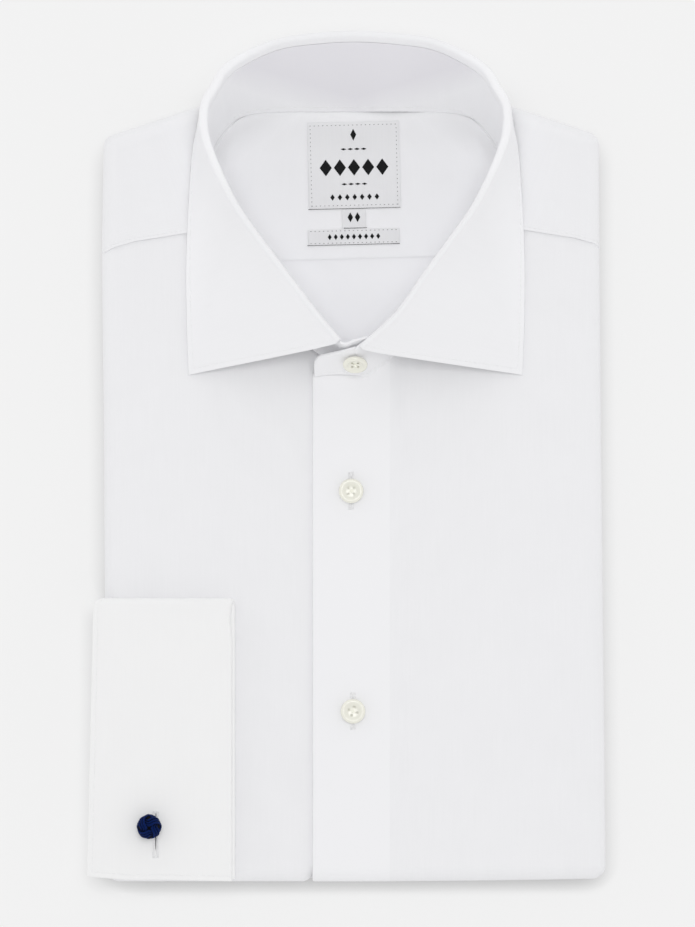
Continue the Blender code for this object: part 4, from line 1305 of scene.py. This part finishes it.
def stitched_groove(distance, inset):
    """How a topstitched edge is drawn in along its stitches and puffs out beside them."""
    puff = STITCH_PUFF * bell(distance, inset * 0.45, 0.7)
    return puff - STITCH_GROOVE * bell(distance, inset, 0.42)


class SHIRT_OT_collar_band(bpy.types.Operator):
    """The collar's stand, topstitched along the neck seam and along the top of its lapping end"""

    bl_idname = "shirt.collar_band"
    bl_label = "Collar band"

    def execute(self, context):
        sizes = context.scene.shirt_sizes
        thick = sizes.collar_cloth
        sheet = band_sheet()
        band = cloth("collar_band_cloth", sheet, "band_shirting", ("collar_band",), thick, 0.0003)
        inset, lift = sizes.stitch_inset / MM, thick / MM / 2
        low = [(i, sheet.row_at(i, inset)) for i in range(2, sheet.columns - 1)]
        high = [(i, sheet.row_at(i, BAND_STITCH_INSET, from_top=True)) for i in range(2, 24)]
        paths = [sheet.path(low, -lift), sheet.path(low, lift), sheet.path(high, lift)]
        topstitch("band_stitching", paths)
        return {"FINISHED"}


class SHIRT_OT_collar_leaf(bpy.types.Operator):
    """The turned-down collar with its two points, topstitched round its edges"""

    bl_idname = "shirt.collar_leaf"
    bl_label = "Collar leaf"

    def execute(self, context):
        sizes = context.scene.shirt_sizes
        thick, inset = sizes.collar_cloth, sizes.stitch_inset / MM
        sheet = leaf_sheet()
        columns, rows = sheet.columns, sheet.rows
        first_fall = rows - len(LEAF_EDGE_ROWS) - 20

        def groove(i, j, point):
            ends = (sheet.points[0][j], sheet.points[columns][j])
            side = min((end - point).length for end in ends) * LEAF_SLANT
            edge = (sheet.points[i][rows] - point).length
            soft = uneven(point.x, point.y, 24.0, 0.16, 3.0)
            fade = smooth((j - first_fall + 4) / 8.0)
            return (stitched_groove(min(edge, side), inset) + soft) * fade

        sheet.shape(groove)
        leaf = cloth("collar_leaf_cloth", sheet, "collar_shirting", ("collar_leaf",), thick, 0.0003)
        top = first_fall - 12
        reach = inset / LEAF_SLANT
        left = [(sheet.column_at(j, reach), j) for j in range(top, rows - 4)]
        right = [(sheet.column_at(j, reach, True), j) for j in range(rows - 5, top - 1, -1)]
        between_points = range(math.ceil(left[-1][0]), math.floor(right[0][0]) + 1)
        free = [(i, sheet.row_at(i, inset, from_top=True)) for i in between_points]
        topstitch("leaf_stitching", [sheet.path(left + free + right, thick / MM / 2)])
        return {"FINISHED"}


# ---------------------------------------------------------------- cuff, sleeve and knot


def cuff_sheet():
    """A flattened ring of a wall that is folded back on itself at the wrist."""
    edge = [0.0, 0.008, 0.016, 0.023, 0.029, 0.034, 0.039, 0.046, 0.06, 0.08]
    inner = steps(0.0, 1.0, 14)
    outer = steps(0.0, 1.0 - edge[-1], 26) + [1.0 - share for share in reversed(edge[:-1])]
    fold = steps(0.0, math.pi, 8)[1:-1]
    run = [0.0, 0.004, 0.008, 0.012, 0.015, 0.018, 0.021, 0.026, 0.034] + steps(0.045, 1.0, 44)
    crease = steps(0.0, math.pi, 12)[1:-1]
    parts = (("inner", inner), ("fold", fold), ("outer", outer))
    across = [(kind, value) for kind, values in parts for value in values]
    parts = (("top", run), ("crease", crease), ("under", run[::-1]))
    down = [(kind, value) for kind, values in parts for value in values]
    bend = (CUFF_OUTER - CUFF_INNER) / 2

    def where(i, j):
        kind, value = down[j]
        turn = {"top": 0.0, "under": math.pi}.get(kind, value)
        half = {"top": 1.0, "under": 0.0}.get(kind, 1.0 - value / math.pi)
        t = 1.0 if kind == "crease" else value
        y = between(CUFF_BOTTOM_END, CUFF_TOP_END - CUFF_OUTER, t)
        pucker = bell(y, CUFF_PUCKER_Y, 5.0) if kind == "top" else 0.0
        left = between(CUFF_LEFT_BOTTOM, CUFF_LEFT_TOP, t)
        left = between(CUFF_UNDER_LEFT, left, smooth(half))
        right = between(CUFF_UNDER_RIGHT, CUFF_RIGHT - 0.9 * pucker, smooth(half)) - bend
        layer, share = across[i]
        if layer == "inner":
            x, off = between(CUFF_SEAM, right, share), CUFF_INNER
        elif layer == "outer":
            x, off = between(right, left, share), CUFF_OUTER
            if kind == "top":
                off += 0.45 * pucker * bell(share, 0.06, 0.05)
                off -= 0.3 * pucker * bell(share, 0.14, 0.05)
                soft = smooth(share * 5.0) * smooth((1.0 - share) * 8.0)
                off += uneven(x, y, 34.0, 0.28, 2.0) * soft
        else:
            x = right + bend * math.sin(share)
            off = CUFF_INNER + bend * (1.0 - math.cos(share))
        if kind == "top":
            y += (read(CUFF_BOTTOM, "x", "y", x) - CUFF_BOTTOM_END) * smooth(1.0 - t / 0.3)
        return x, y + off * math.sin(turn), CUFF_MID + off * math.cos(turn)

    sheet = Sheet(len(across) - 1, len(down) - 1, where)
    return sheet, len(inner) + len(fold), len(run)


def slit(obj, x, y, reach, width, low, high):
    """Cuts a slim slit along Y with pointed ends, from low to high, through a finished cloth."""
    turns = steps(0.0, math.tau, 24)[:-1]
    ring = [(x - width / 2 * math.sin(a), y + reach / 2 * math.cos(a)) for a in turns]
    cut_out(obj, cutter(ring, low, high))


def buttonhole(name, x, y, reach, top, width):
    """A worked buttonhole along Y: close stitches beside its slit and a bar at each end."""
    bm = bmesh.new()

    def stitch(cx, cy, long, turn):
        size = Matrix.Diagonal((long / 2, HOLE_THREAD, HOLE_THREAD * 1.1, 1.0))
        spot = Matrix.Translation((cx, cy, top + 0.05)) @ Matrix.Rotation(turn, 4, "Z")
        bead(bm, METRES @ spot @ size)

    count = round(reach / HOLE_PITCH)
    for k, along in enumerate(steps(-reach / 2, reach / 2, count)):
        for side in (-1, 1):
            turn = 0.18 * math.sin(k * 2.3) + 0.1 * side
            stitch(x + side * width * 0.55, y + along, width * 0.72, turn)
    for end in (-1, 1):
        for k in range(4):
            bar = end * (reach / 2 + 0.25 + 0.28 * k)
            stitch(x, y + bar, width * 1.7, 0.05 * (k - 1.5))
    piece(name, bm, "sewing_thread", slot="white_cotton", sharp=180.0)


class SHIRT_OT_cuff(bpy.types.Operator):
    """The French cuff, folded back at the wrist, with its topstitching and its sewn buttonhole"""

    bl_idname = "shirt.cuff"
    bl_label = "French cuff"

    def execute(self, context):
        sizes = context.scene.shirt_sizes
        thick, inset = sizes.cuff_cloth, sizes.stitch_inset / MM
        wall = thick / MM
        sheet, outer_start, run = cuff_sheet()
        columns, rows = sheet.columns, sheet.rows

        def groove(i, j, point):
            if i < outer_start:
                return 0.0
            edges = (sheet.points[columns][j], sheet.points[i][0], sheet.points[i][rows])
            return -stitched_groove(min((edge - point).length for edge in edges), inset)

        sheet.shape(groove)
        cuff = cloth("cuff_cloth", sheet, "cuff_shirting", ("cuff",), thick, 0.0003)
        side_line = [(sheet.column_at(j, inset, from_end=True), j) for j in range(5, run + 12)]
        corner = int(side_line[0][0])
        end_line = [(i, sheet.row_at(i, inset)) for i in range(outer_start, corner + 1)]
        topstitch("cuff_stitching", [sheet.path(end_line + side_line, -wall / 2)])
        top = CUFF_MID + CUFF_OUTER + wall / 2
        slit(cuff, SLOT_X, SLOT_Y, SLOT_LENGTH, SLOT_WIDTH, CUFF_MID + 0.1, top + 2.0)
        buttonhole("cuff_buttonhole", SLOT_X, SLOT_WORKED_Y, SLOT_WORKED, top, 1.75)
        return {"FINISHED"}


class SHIRT_OT_sleeve(bpy.types.Operator):
    """The stretch of flattened sleeve that comes round the edge into the cuff"""

    bl_idname = "shirt.sleeve"
    bl_label = "Sleeve"

    def execute(self, context):
        high, low = CUFF_MID - SLEEVE_TURN, SLEEVE_FLOOR + SLEEVE_TUCK
        path = [(CUFF_SEAM - 0.5, CUFF_MID)]
        path += arc(SLEEVE_X + SLEEVE_TURN, high, SLEEVE_TURN, QUARTER, math.pi, 8)[1:]
        path += [(SLEEVE_X, z) for z in (16.0, 13.0, 10.0, 7.5)]
        path += arc(SLEEVE_X + SLEEVE_TUCK, low, SLEEVE_TUCK, math.pi, math.pi * 1.5, 6)
        path.append((SLEEVE_END, SLEEVE_FLOOR))
        last, rows = len(path) - 1, 96
        halves = (("sleeve_cloth", 1.0, ("sleeve",)), ("sleeve_under_cloth", -1.0, ()))
        for name, shift, nodes in halves:

            def where(i, j, shift=shift):
                y = between(SLEEVE_BOTTOM, SLEEVE_TOP, j / rows)
                a, b = path[max(i - 1, 0)], path[min(i + 1, last)]
                out = Vector((b[1] - a[1], 0.0, a[0] - b[0])).normalized()
                hang = math.sin(math.pi * i / last)
                pleat = sum(p.height * bell(y, p.y, p.width) for p in SLEEVE_PLEATS)
                soft = (0.3 * pleat + uneven(path[i][1], y, 17.0, 0.3)) * hang
                return Vector((path[i][0], y, path[i][1])) + out * (shift * 0.55 + soft)

            sheet = Sheet(last, rows, where)
            sleeve = cloth(name, sheet, "white_shirting", nodes, context.scene.shirt_sizes.cloth)
        return {"FINISHED"}


def knot_strand(lane, passes, cord, ball, centre):
    """The sheet round one of the knot's cords, as it runs three-lead round the ball."""
    leads, bights, reach = 3, 4, math.radians(63)
    around, along = 10, 420
    aside = (lane - (passes - 1) / 2) * 2.0 * cord
    lean = Matrix.Rotation(math.radians(6), 3, "X") @ Matrix.Rotation(math.radians(24), 3, "Z")

    def spot(s):
        lon, lat = leads * s, reach * math.sin(bights * s)
        over = 0.95 * cord * math.sin((leads - 1) * bights * s)
        d_lon, d_lat = leads, reach * bights * math.cos(bights * s)
        size = math.hypot(d_lon * math.cos(lat), d_lat)
        lat_aside = aside / ball * d_lon * math.cos(lat) / size
        lon_aside = -aside / ball * d_lat / size / max(math.cos(lat), 0.35)
        lat, lon = lat + lat_aside, lon + lon_aside
        level = math.cos(lat)
        radial = Vector((level * math.cos(lon), level * math.sin(lon), math.sin(lat) * 0.98))
        return radial * (ball + over), radial.normalized()

    def where(i, j):
        s = math.tau * i / along
        here, radial = spot(s)
        ahead, _ = spot(s + 0.004)
        side = radial.cross((ahead - here).normalized()).normalized()
        a = math.tau * j / around
        turned = lean @ (here + (radial * math.cos(a) + side * math.sin(a)) * cord)
        turned.z *= KNOT_FLAT
        return centre + turned

    return Sheet(along, around, where)


class SHIRT_OT_silk_knot(bpy.types.Operator):
    """The cuff's silk knot: a cord laid side by side and woven three-lead round a ball"""

    bl_idname = "shirt.silk_knot"
    bl_label = "Silk knot"

    def execute(self, context):
        sizes = context.scene.shirt_sizes
        cord = sizes.knot_cord / MM
        ball = sizes.knot_radius / MM - cord * 1.95
        base = CUFF_MID + CUFF_OUTER + 0.6
        centre = Vector((KNOT_X, KNOT_Y, base + ball * KNOT_FLAT + cord))
        bm = bmesh.new()
        made = bpy.data.meshes.new("strand")
        for lane in range(sizes.knot_passes):
            strand = knot_strand(lane, sizes.knot_passes, cord, ball, centre).mesh(closed=True)
            bmesh.ops.recalc_face_normals(strand, faces=strand.faces)
            strand.to_mesh(made)
            strand.free()
            bm.from_mesh(made)
        bpy.data.meshes.remove(made)
        piece("silk_knot_cord", bm, "silk_cord", ("silk_knot",), "navy_silk", sharp=180.0)
        core = bmesh.new()
        bmesh.ops.create_icosphere(core, subdivisions=4, radius=(ball - cord * 0.2) * MM)
        bmesh.ops.scale(core, verts=core.verts, vec=(1.0, 1.0, KNOT_FLAT))
        for vertex in core.verts:
            vertex.co *= 1.0 + 0.01 * noise.noise(vertex.co * 900.0)
        bmesh.ops.translate(core, verts=core.verts, vec=centre * MM)
        core.loops.layers.uv.new("cloth")
        piece("silk_knot_core", core, "silk_cord", slot="navy_silk", sharp=180.0)
        stem = bmesh.new()
        low = CUFF_MID + 0.4
        bmesh.ops.create_cone(
            stem,
            cap_ends=True,
            segments=20,
            radius1=STEM_RADIUS * MM,
            radius2=STEM_RADIUS * MM,
            depth=(centre.z - low) * MM,
            matrix=Matrix.Translation(Vector((SLOT_X, KNOT_Y, (centre.z + low) / 2)) * MM),
        )
        stem.loops.layers.uv.new("cloth")
        piece("silk_knot_stem", stem, "silk_cord", slot="navy_silk", sharp=60.0)
        return {"FINISHED"}


# ---------------------------------------------------------------- buttons

BUTTON_PROFILE = table(
    "radius height",
    (0, 1.66), (1.6, 1.64), (2.4, 1.68), (2.9, 1.80), (3.3, 2.02), (3.75, 2.32), (4.3, 2.45),
    (4.85, 2.36), (5.25, 2.08), (5.46, 1.66), (5.5, 1.25), (5.3, 0.8), (4.7, 0.35), (3.5, 0.05),
    (0, 0),
)
BUTTON_HOLE = 0.6
BUTTON_HOLE_PLACE = 1.88
BUTTON_HOLE_FLOOR = 0.3  # the sewing thread fills the holes below this
BUTTON_SHARP = 50


def button_piece(name, node_name, spot, tilt, turn):
    """A turned four-hole button with its sewing thread."""
    bm = bmesh.new()
    button_radius = bpy.context.scene.shirt_sizes.button_radius
    across = button_radius / max(p.radius for p in BUTTON_PROFILE)
    points = [bm.verts.new((p.radius * across, 0.0, p.height * MM)) for p in BUTTON_PROFILE]
    edges = [bm.edges.new(pair) for pair in zip(points, points[1:])]
    round_axis = {"cent": (0, 0, 0), "axis": (0, 0, 1), "angle": math.tau}
    bmesh.ops.spin(bm, geom=points + edges, steps=72, use_merge=True, **round_axis)
    bmesh.ops.remove_doubles(bm, verts=bm.verts, dist=1e-6)
    bmesh.ops.recalc_face_normals(bm, faces=bm.faces)
    button = piece(name, bm, "shell_button", (node_name,), "cream_button", sharp=BUTTON_SHARP)
    holes = bmesh.new()
    radius, depth = BUTTON_HOLE * MM, 0.01
    for k in range(4):
        a = math.pi / 4 + QUARTER * k
        place = Vector((math.cos(a), math.sin(a), 0.0)) * BUTTON_HOLE_PLACE * MM
        place += Vector((0.0, 0.0, depth / 2 + BUTTON_HOLE_FLOOR * MM))
        size = {"radius1": radius, "radius2": radius, "depth": depth}
        matrix = Matrix.Translation(place)
        bmesh.ops.create_cone(holes, cap_ends=True, segments=24, matrix=matrix, **size)
    cut_out(button, holes)
    place = Matrix.Translation(spot * MM)
    place = place @ Matrix.Rotation(turn, 4, "Z") @ Matrix.Rotation(tilt, 4, "X")
    button.data.transform(place)
    soften(button.data, BUTTON_SHARP)
    thread = bmesh.new()
    size = Matrix.Diagonal((BUTTON_HOLE_PLACE - 0.78, 0.24, 0.2, 1.0))
    for k in range(2):
        for aside in (-0.22, 0.22):
            turned = Matrix.Rotation(math.pi / 4 + QUARTER * k, 4, "Z")
            shift = Matrix.Translation((0.0, aside, 1.7 + 0.2 * k))
            bead(thread, place @ METRES @ turned @ shift @ size, 8, 12)
    piece(name + "_thread", thread, "button_thread", slot="cream_button", sharp=180.0)


class SHIRT_OT_buttons(bpy.types.Operator):
    """The collar's button and the two front buttons with their worked buttonholes"""

    bl_idname = "shirt.buttons"
    bl_label = "Buttons"

    def execute(self, context):
        top = FRONT_TOP + LAP_RISE
        for row in FRONT_BUTTONS:
            spot = Vector((row.x, row.y, BUTTON_SEAT))
            button_piece(row.name + "_turned", row.name, spot, 0.0, row.turn)
            x, y = row.x, row.y + 0.1
            buttonhole(row.name + "_buttonhole", x, y, 14.4, top, 1.5)
            slit(bpy.data.objects["front_left_cloth"], x, y, 13.4, 0.3, top - 0.9, top + 1.5)
        tilt = COLLAR_BUTTON_TILT
        button_piece("button_collar_turned", "button_collar", COLLAR_BUTTON, tilt, 0.0)
        return {"FINISHED"}


# ---------------------------------------------------------------- labels


def label_sheet(row):
    """A label laid on the inner yoke, turned a little about its own middle."""
    columns, rows = 30, 24
    middle = Vector(((row.left + row.right) / 2, (row.low + row.high) / 2))

    def where(i, j):
        aside = between(row.left, row.right, i / columns) - middle.x
        back = between(row.low, row.high, j / rows) - middle.y
        x = middle.x + aside * math.cos(LABEL_TURN) - back * math.sin(LABEL_TURN)
        y = middle.y + aside * math.sin(LABEL_TURN) + back * math.cos(LABEL_TURN)
        return x, y, inner_z(x, y) + 0.6

    return Sheet(columns, rows, where)


def label_borders(row, sheet):
    """The paths of a label's stitched border: all round the main one, and two lines on others."""
    columns, rows = sheet.columns, sheet.rows
    main = row.name == "label_main"
    x = 1.3 / (row.right - row.left) * columns
    y = (1.4 if main else 0.8) / (row.high - row.low) * rows
    lines = [[(i, j) for i in steps(x, columns - x, 12)] for j in (y, rows - y)]
    if main:
        lines += [[(i, j) for j in steps(y, rows - y, 12)] for i in (x, columns - x)]
    return [sheet.path(line, 0.2) for line in lines]


def label_bar(row, sheet):
    """The paths of the dark thread along a label's lower edge, thicker at its ends."""
    first = 3.0 if row.name == "label_size" else 0.0
    ends = [(first, first + (1.4 if row.name == "label_main" else 0.6), 0.2)]
    if row.name == "label_lower":
        ends.append((sheet.columns - 2.2, sheet.columns, 0.2))
    lines = [(first, sheet.columns, 0.1)] + ends
    return [sheet.path([(i, 0.0) for i in steps(low, high, 12)], up) for low, high, up in lines]


class SHIRT_OT_labels(bpy.types.Operator):
    """Three woven labels with plain motifs, on the inner yoke, with their stitched borders"""

    bl_idname = "shirt.labels"
    bl_label = "Labels"

    def execute(self, context):
        rows = {row.name: row for row in LABELS}
        sheets = {row.name: label_sheet(row) for row in LABELS}
        for row in LABELS:
            sheet, nodes = sheets[row.name], (row.name,)
            finish = ("label_cloth", nodes, 0.0004, 0.0001, "woven_label")
            label = cloth(row.name + "_woven", sheet, *finish)
        borders = [path for row in LABELS[::2] for path in label_borders(row, sheets[row.name])]
        sew("label_stitching", borders, 1.9, 0.17, "border_thread", fill=0.36)
        bars = [path for row in LABELS for path in label_bar(row, sheets[row.name])]
        sew("label_bars", bars, 0.64, 0.15, "label_thread", fill=1.3)
        motifs = bmesh.new()
        for motif in MOTIFS:
            row, sheet = rows[motif.label], sheets[motif.label]
            for k in range(motif.count):
                x = (k - (motif.count - 1) / 2) * motif.pitch
                i = (0.5 + x / (row.right - row.left)) * sheet.columns
                j = (0.5 + motif.y / (row.high - row.low)) * sheet.rows
                normal = sheet.normal(i, j)
                spot = Matrix.Translation((sheet.at(i, j) + normal * 0.3) * MM)
                lean = Vector((0.0, 0.0, 1.0)).rotation_difference(normal).to_matrix().to_4x4()
                size = Matrix.Diagonal((motif.wide, motif.high, 1.0, 1.0))
                size = Matrix.Rotation(LABEL_TURN, 4, "Z") @ size
                made = bmesh.ops.create_circle(motifs, cap_ends=True, segments=4, radius=0.5 * MM)
                bmesh.ops.transform(motifs, matrix=spot @ lean @ size, verts=made["verts"])
        bmesh.ops.solidify(motifs, geom=list(motifs.faces), thickness=0.00014)
        bmesh.ops.recalc_face_normals(motifs, faces=motifs.faces)
        piece("label_motifs", motifs, "label_thread", sharp=30.0)
        return {"FINISHED"}


# ---------------------------------------------------------------- studio


def tent(world, sky, horizon):
    """The light tent: even overhead, and brighter by horizon towards its sides."""
    world.use_nodes = True
    tree = world.node_tree
    background = tree.nodes["Background"]
    background.inputs["Color"].default_value = (1.0, 1.0, 1.0, 1.0)
    place = node(tree, "TexCoord").outputs["Generated"]
    up = node(tree, "SeparateXYZ", [("Vector", place)]).outputs["Z"]
    height = node(tree, "Math", enumerate((up, up)), operation="MULTIPLY").outputs["Value"]
    strength = node(tree, "MapRange", [("Value", height)], To_Min=sky + horizon, To_Max=sky)
    tree.links.new(strength.outputs["Result"], background.inputs["Strength"])


def lamp(name, place, size, power):
    """A square soft box that faces the shirt."""
    light = bpy.data.lights.new(name, "AREA")
    light.shape, light.size, light.energy = "SQUARE", size, power
    obj = placed(name, light)
    obj.location = place
    obj.rotation_euler = place.to_track_quat("Z", "Y").to_euler()


def floor_finish(colour, glow, painted_contact_shadow):
    """A matt floor with its own panel of light, with a painted shadow: the glow is dimmed by ambient
    occlusion close round the shirt, most below its lower edge.
    """
    material, tree, principled = shader("studio_floor", colour, 0.9)
    tinted(tree, mottled(tree, 3.0, 1.0), times(colour, 0.997), colour)
    dial(principled, Specular_IOR_Level=0.0, Emission_Color=(1.0, 1.0, 1.0, 1.0))
    # Painted shadow: ambient occlusion about a normal leaning towards +Y dims the glow close to the
    # shirt, more on its lower side than above it
    leaning = node(tree, "CombineXYZ", Y=0.93, Z=0.37).outputs["Vector"]
    near = node(tree, "AmbientOcclusion", [("Normal", leaning)], Distance=0.010).outputs["AO"]
    limits = {"To_Min": glow * (1.0 - painted_contact_shadow), "To_Max": glow}
    dimmed = node(tree, "MapRange", [("Value", near)], **limits)
    tree.links.new(dimmed.outputs["Result"], principled.inputs["Emission Strength"])
    return material


class SHIRT_OT_studio(bpy.types.Operator):
    """Pale floor, soft lights and the camera straight above the shirt"""

    bl_idname = "shirt.studio"
    bl_label = "Studio"

    def execute(self, context):
        scene, studio = context.scene, context.scene.shirt_studio
        bm = bmesh.new()
        bmesh.ops.create_grid(bm, x_segments=8, y_segments=8, size=4.0)
        bmesh.ops.translate(bm, verts=bm.verts, vec=(0.0, 0.0, -0.0004))
        floor = object_of("floor", bm)
        finish = floor_finish(scene.shirt_colours.floor, studio.glow, studio.painted_contact_shadow)
        floor.data.materials.append(finish)
        scene.world = bpy.data.worlds.new("studio")
        tent(scene.world, studio.sky, studio.horizon)
        lamp("key", Vector((0.0, 0.35, 2.6)), 1.2, studio.key)
        camera = bpy.data.cameras.new("camera")
        camera.sensor_width = 36.0
        camera.lens = camera.sensor_width * studio.camera_height / studio.view_height
        camera.clip_end = 20.0
        above = placed("camera", camera)
        above.location = (studio.view_x, studio.view_y, studio.camera_height + FRONT_TOP * MM)
        scene.camera = above
        scene.view_settings.view_transform = "Standard"
        scene.view_settings.look = "None"
        return {"FINISHED"}


# ---------------------------------------------------------------- panel and registration

PIECES = (
    SHIRT_OT_studio,
    SHIRT_OT_folded_layers,
    SHIRT_OT_fronts,
    SHIRT_OT_yoke,
    SHIRT_OT_neck_inside,
    SHIRT_OT_collar_band,
    SHIRT_OT_collar_leaf,
    SHIRT_OT_sleeve,
    SHIRT_OT_cuff,
    SHIRT_OT_silk_knot,
    SHIRT_OT_buttons,
    SHIRT_OT_labels,
)
SETTINGS = (
    ("shirt_sizes", ShirtSizes),
    ("shirt_colours", ShirtColours),
    ("shirt_studio", StudioSettings),
)


class SHIRT_PT_panel(bpy.types.Panel):
    """The shirt's settings and its pieces"""

    bl_idname = "SHIRT_PT_panel"
    bl_label = "Folded shirt"
    bl_space_type = "VIEW_3D"
    bl_region_type = "UI"
    bl_category = "Shirt"

    def draw(self, context):
        for name, _ in SETTINGS:
            settings = getattr(context.scene, name)
            box = self.layout.box()
            for key in settings.bl_rna.properties.keys():
                if key not in ("rna_type", "name"):
                    box.prop(settings, key)
        for operator in PIECES:
            self.layout.operator(operator.bl_idname)


def register():
    for name, group in SETTINGS:
        bpy.utils.register_class(group)
        setattr(bpy.types.Scene, name, PointerProperty(type=group))
    for operator in (*PIECES, SHIRT_PT_panel):
        bpy.utils.register_class(operator)


def unregister():
    for operator in (SHIRT_PT_panel, *reversed(PIECES)):
        bpy.utils.unregister_class(operator)
    for name, group in reversed(SETTINGS):
        delattr(bpy.types.Scene, name)
        bpy.utils.unregister_class(group)


def main():
    register()
    for operator in PIECES:
        group, name = operator.bl_idname.split(".")
        getattr(getattr(bpy.ops, group), name)()
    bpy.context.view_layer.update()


if __name__ == "__main__":
    main()
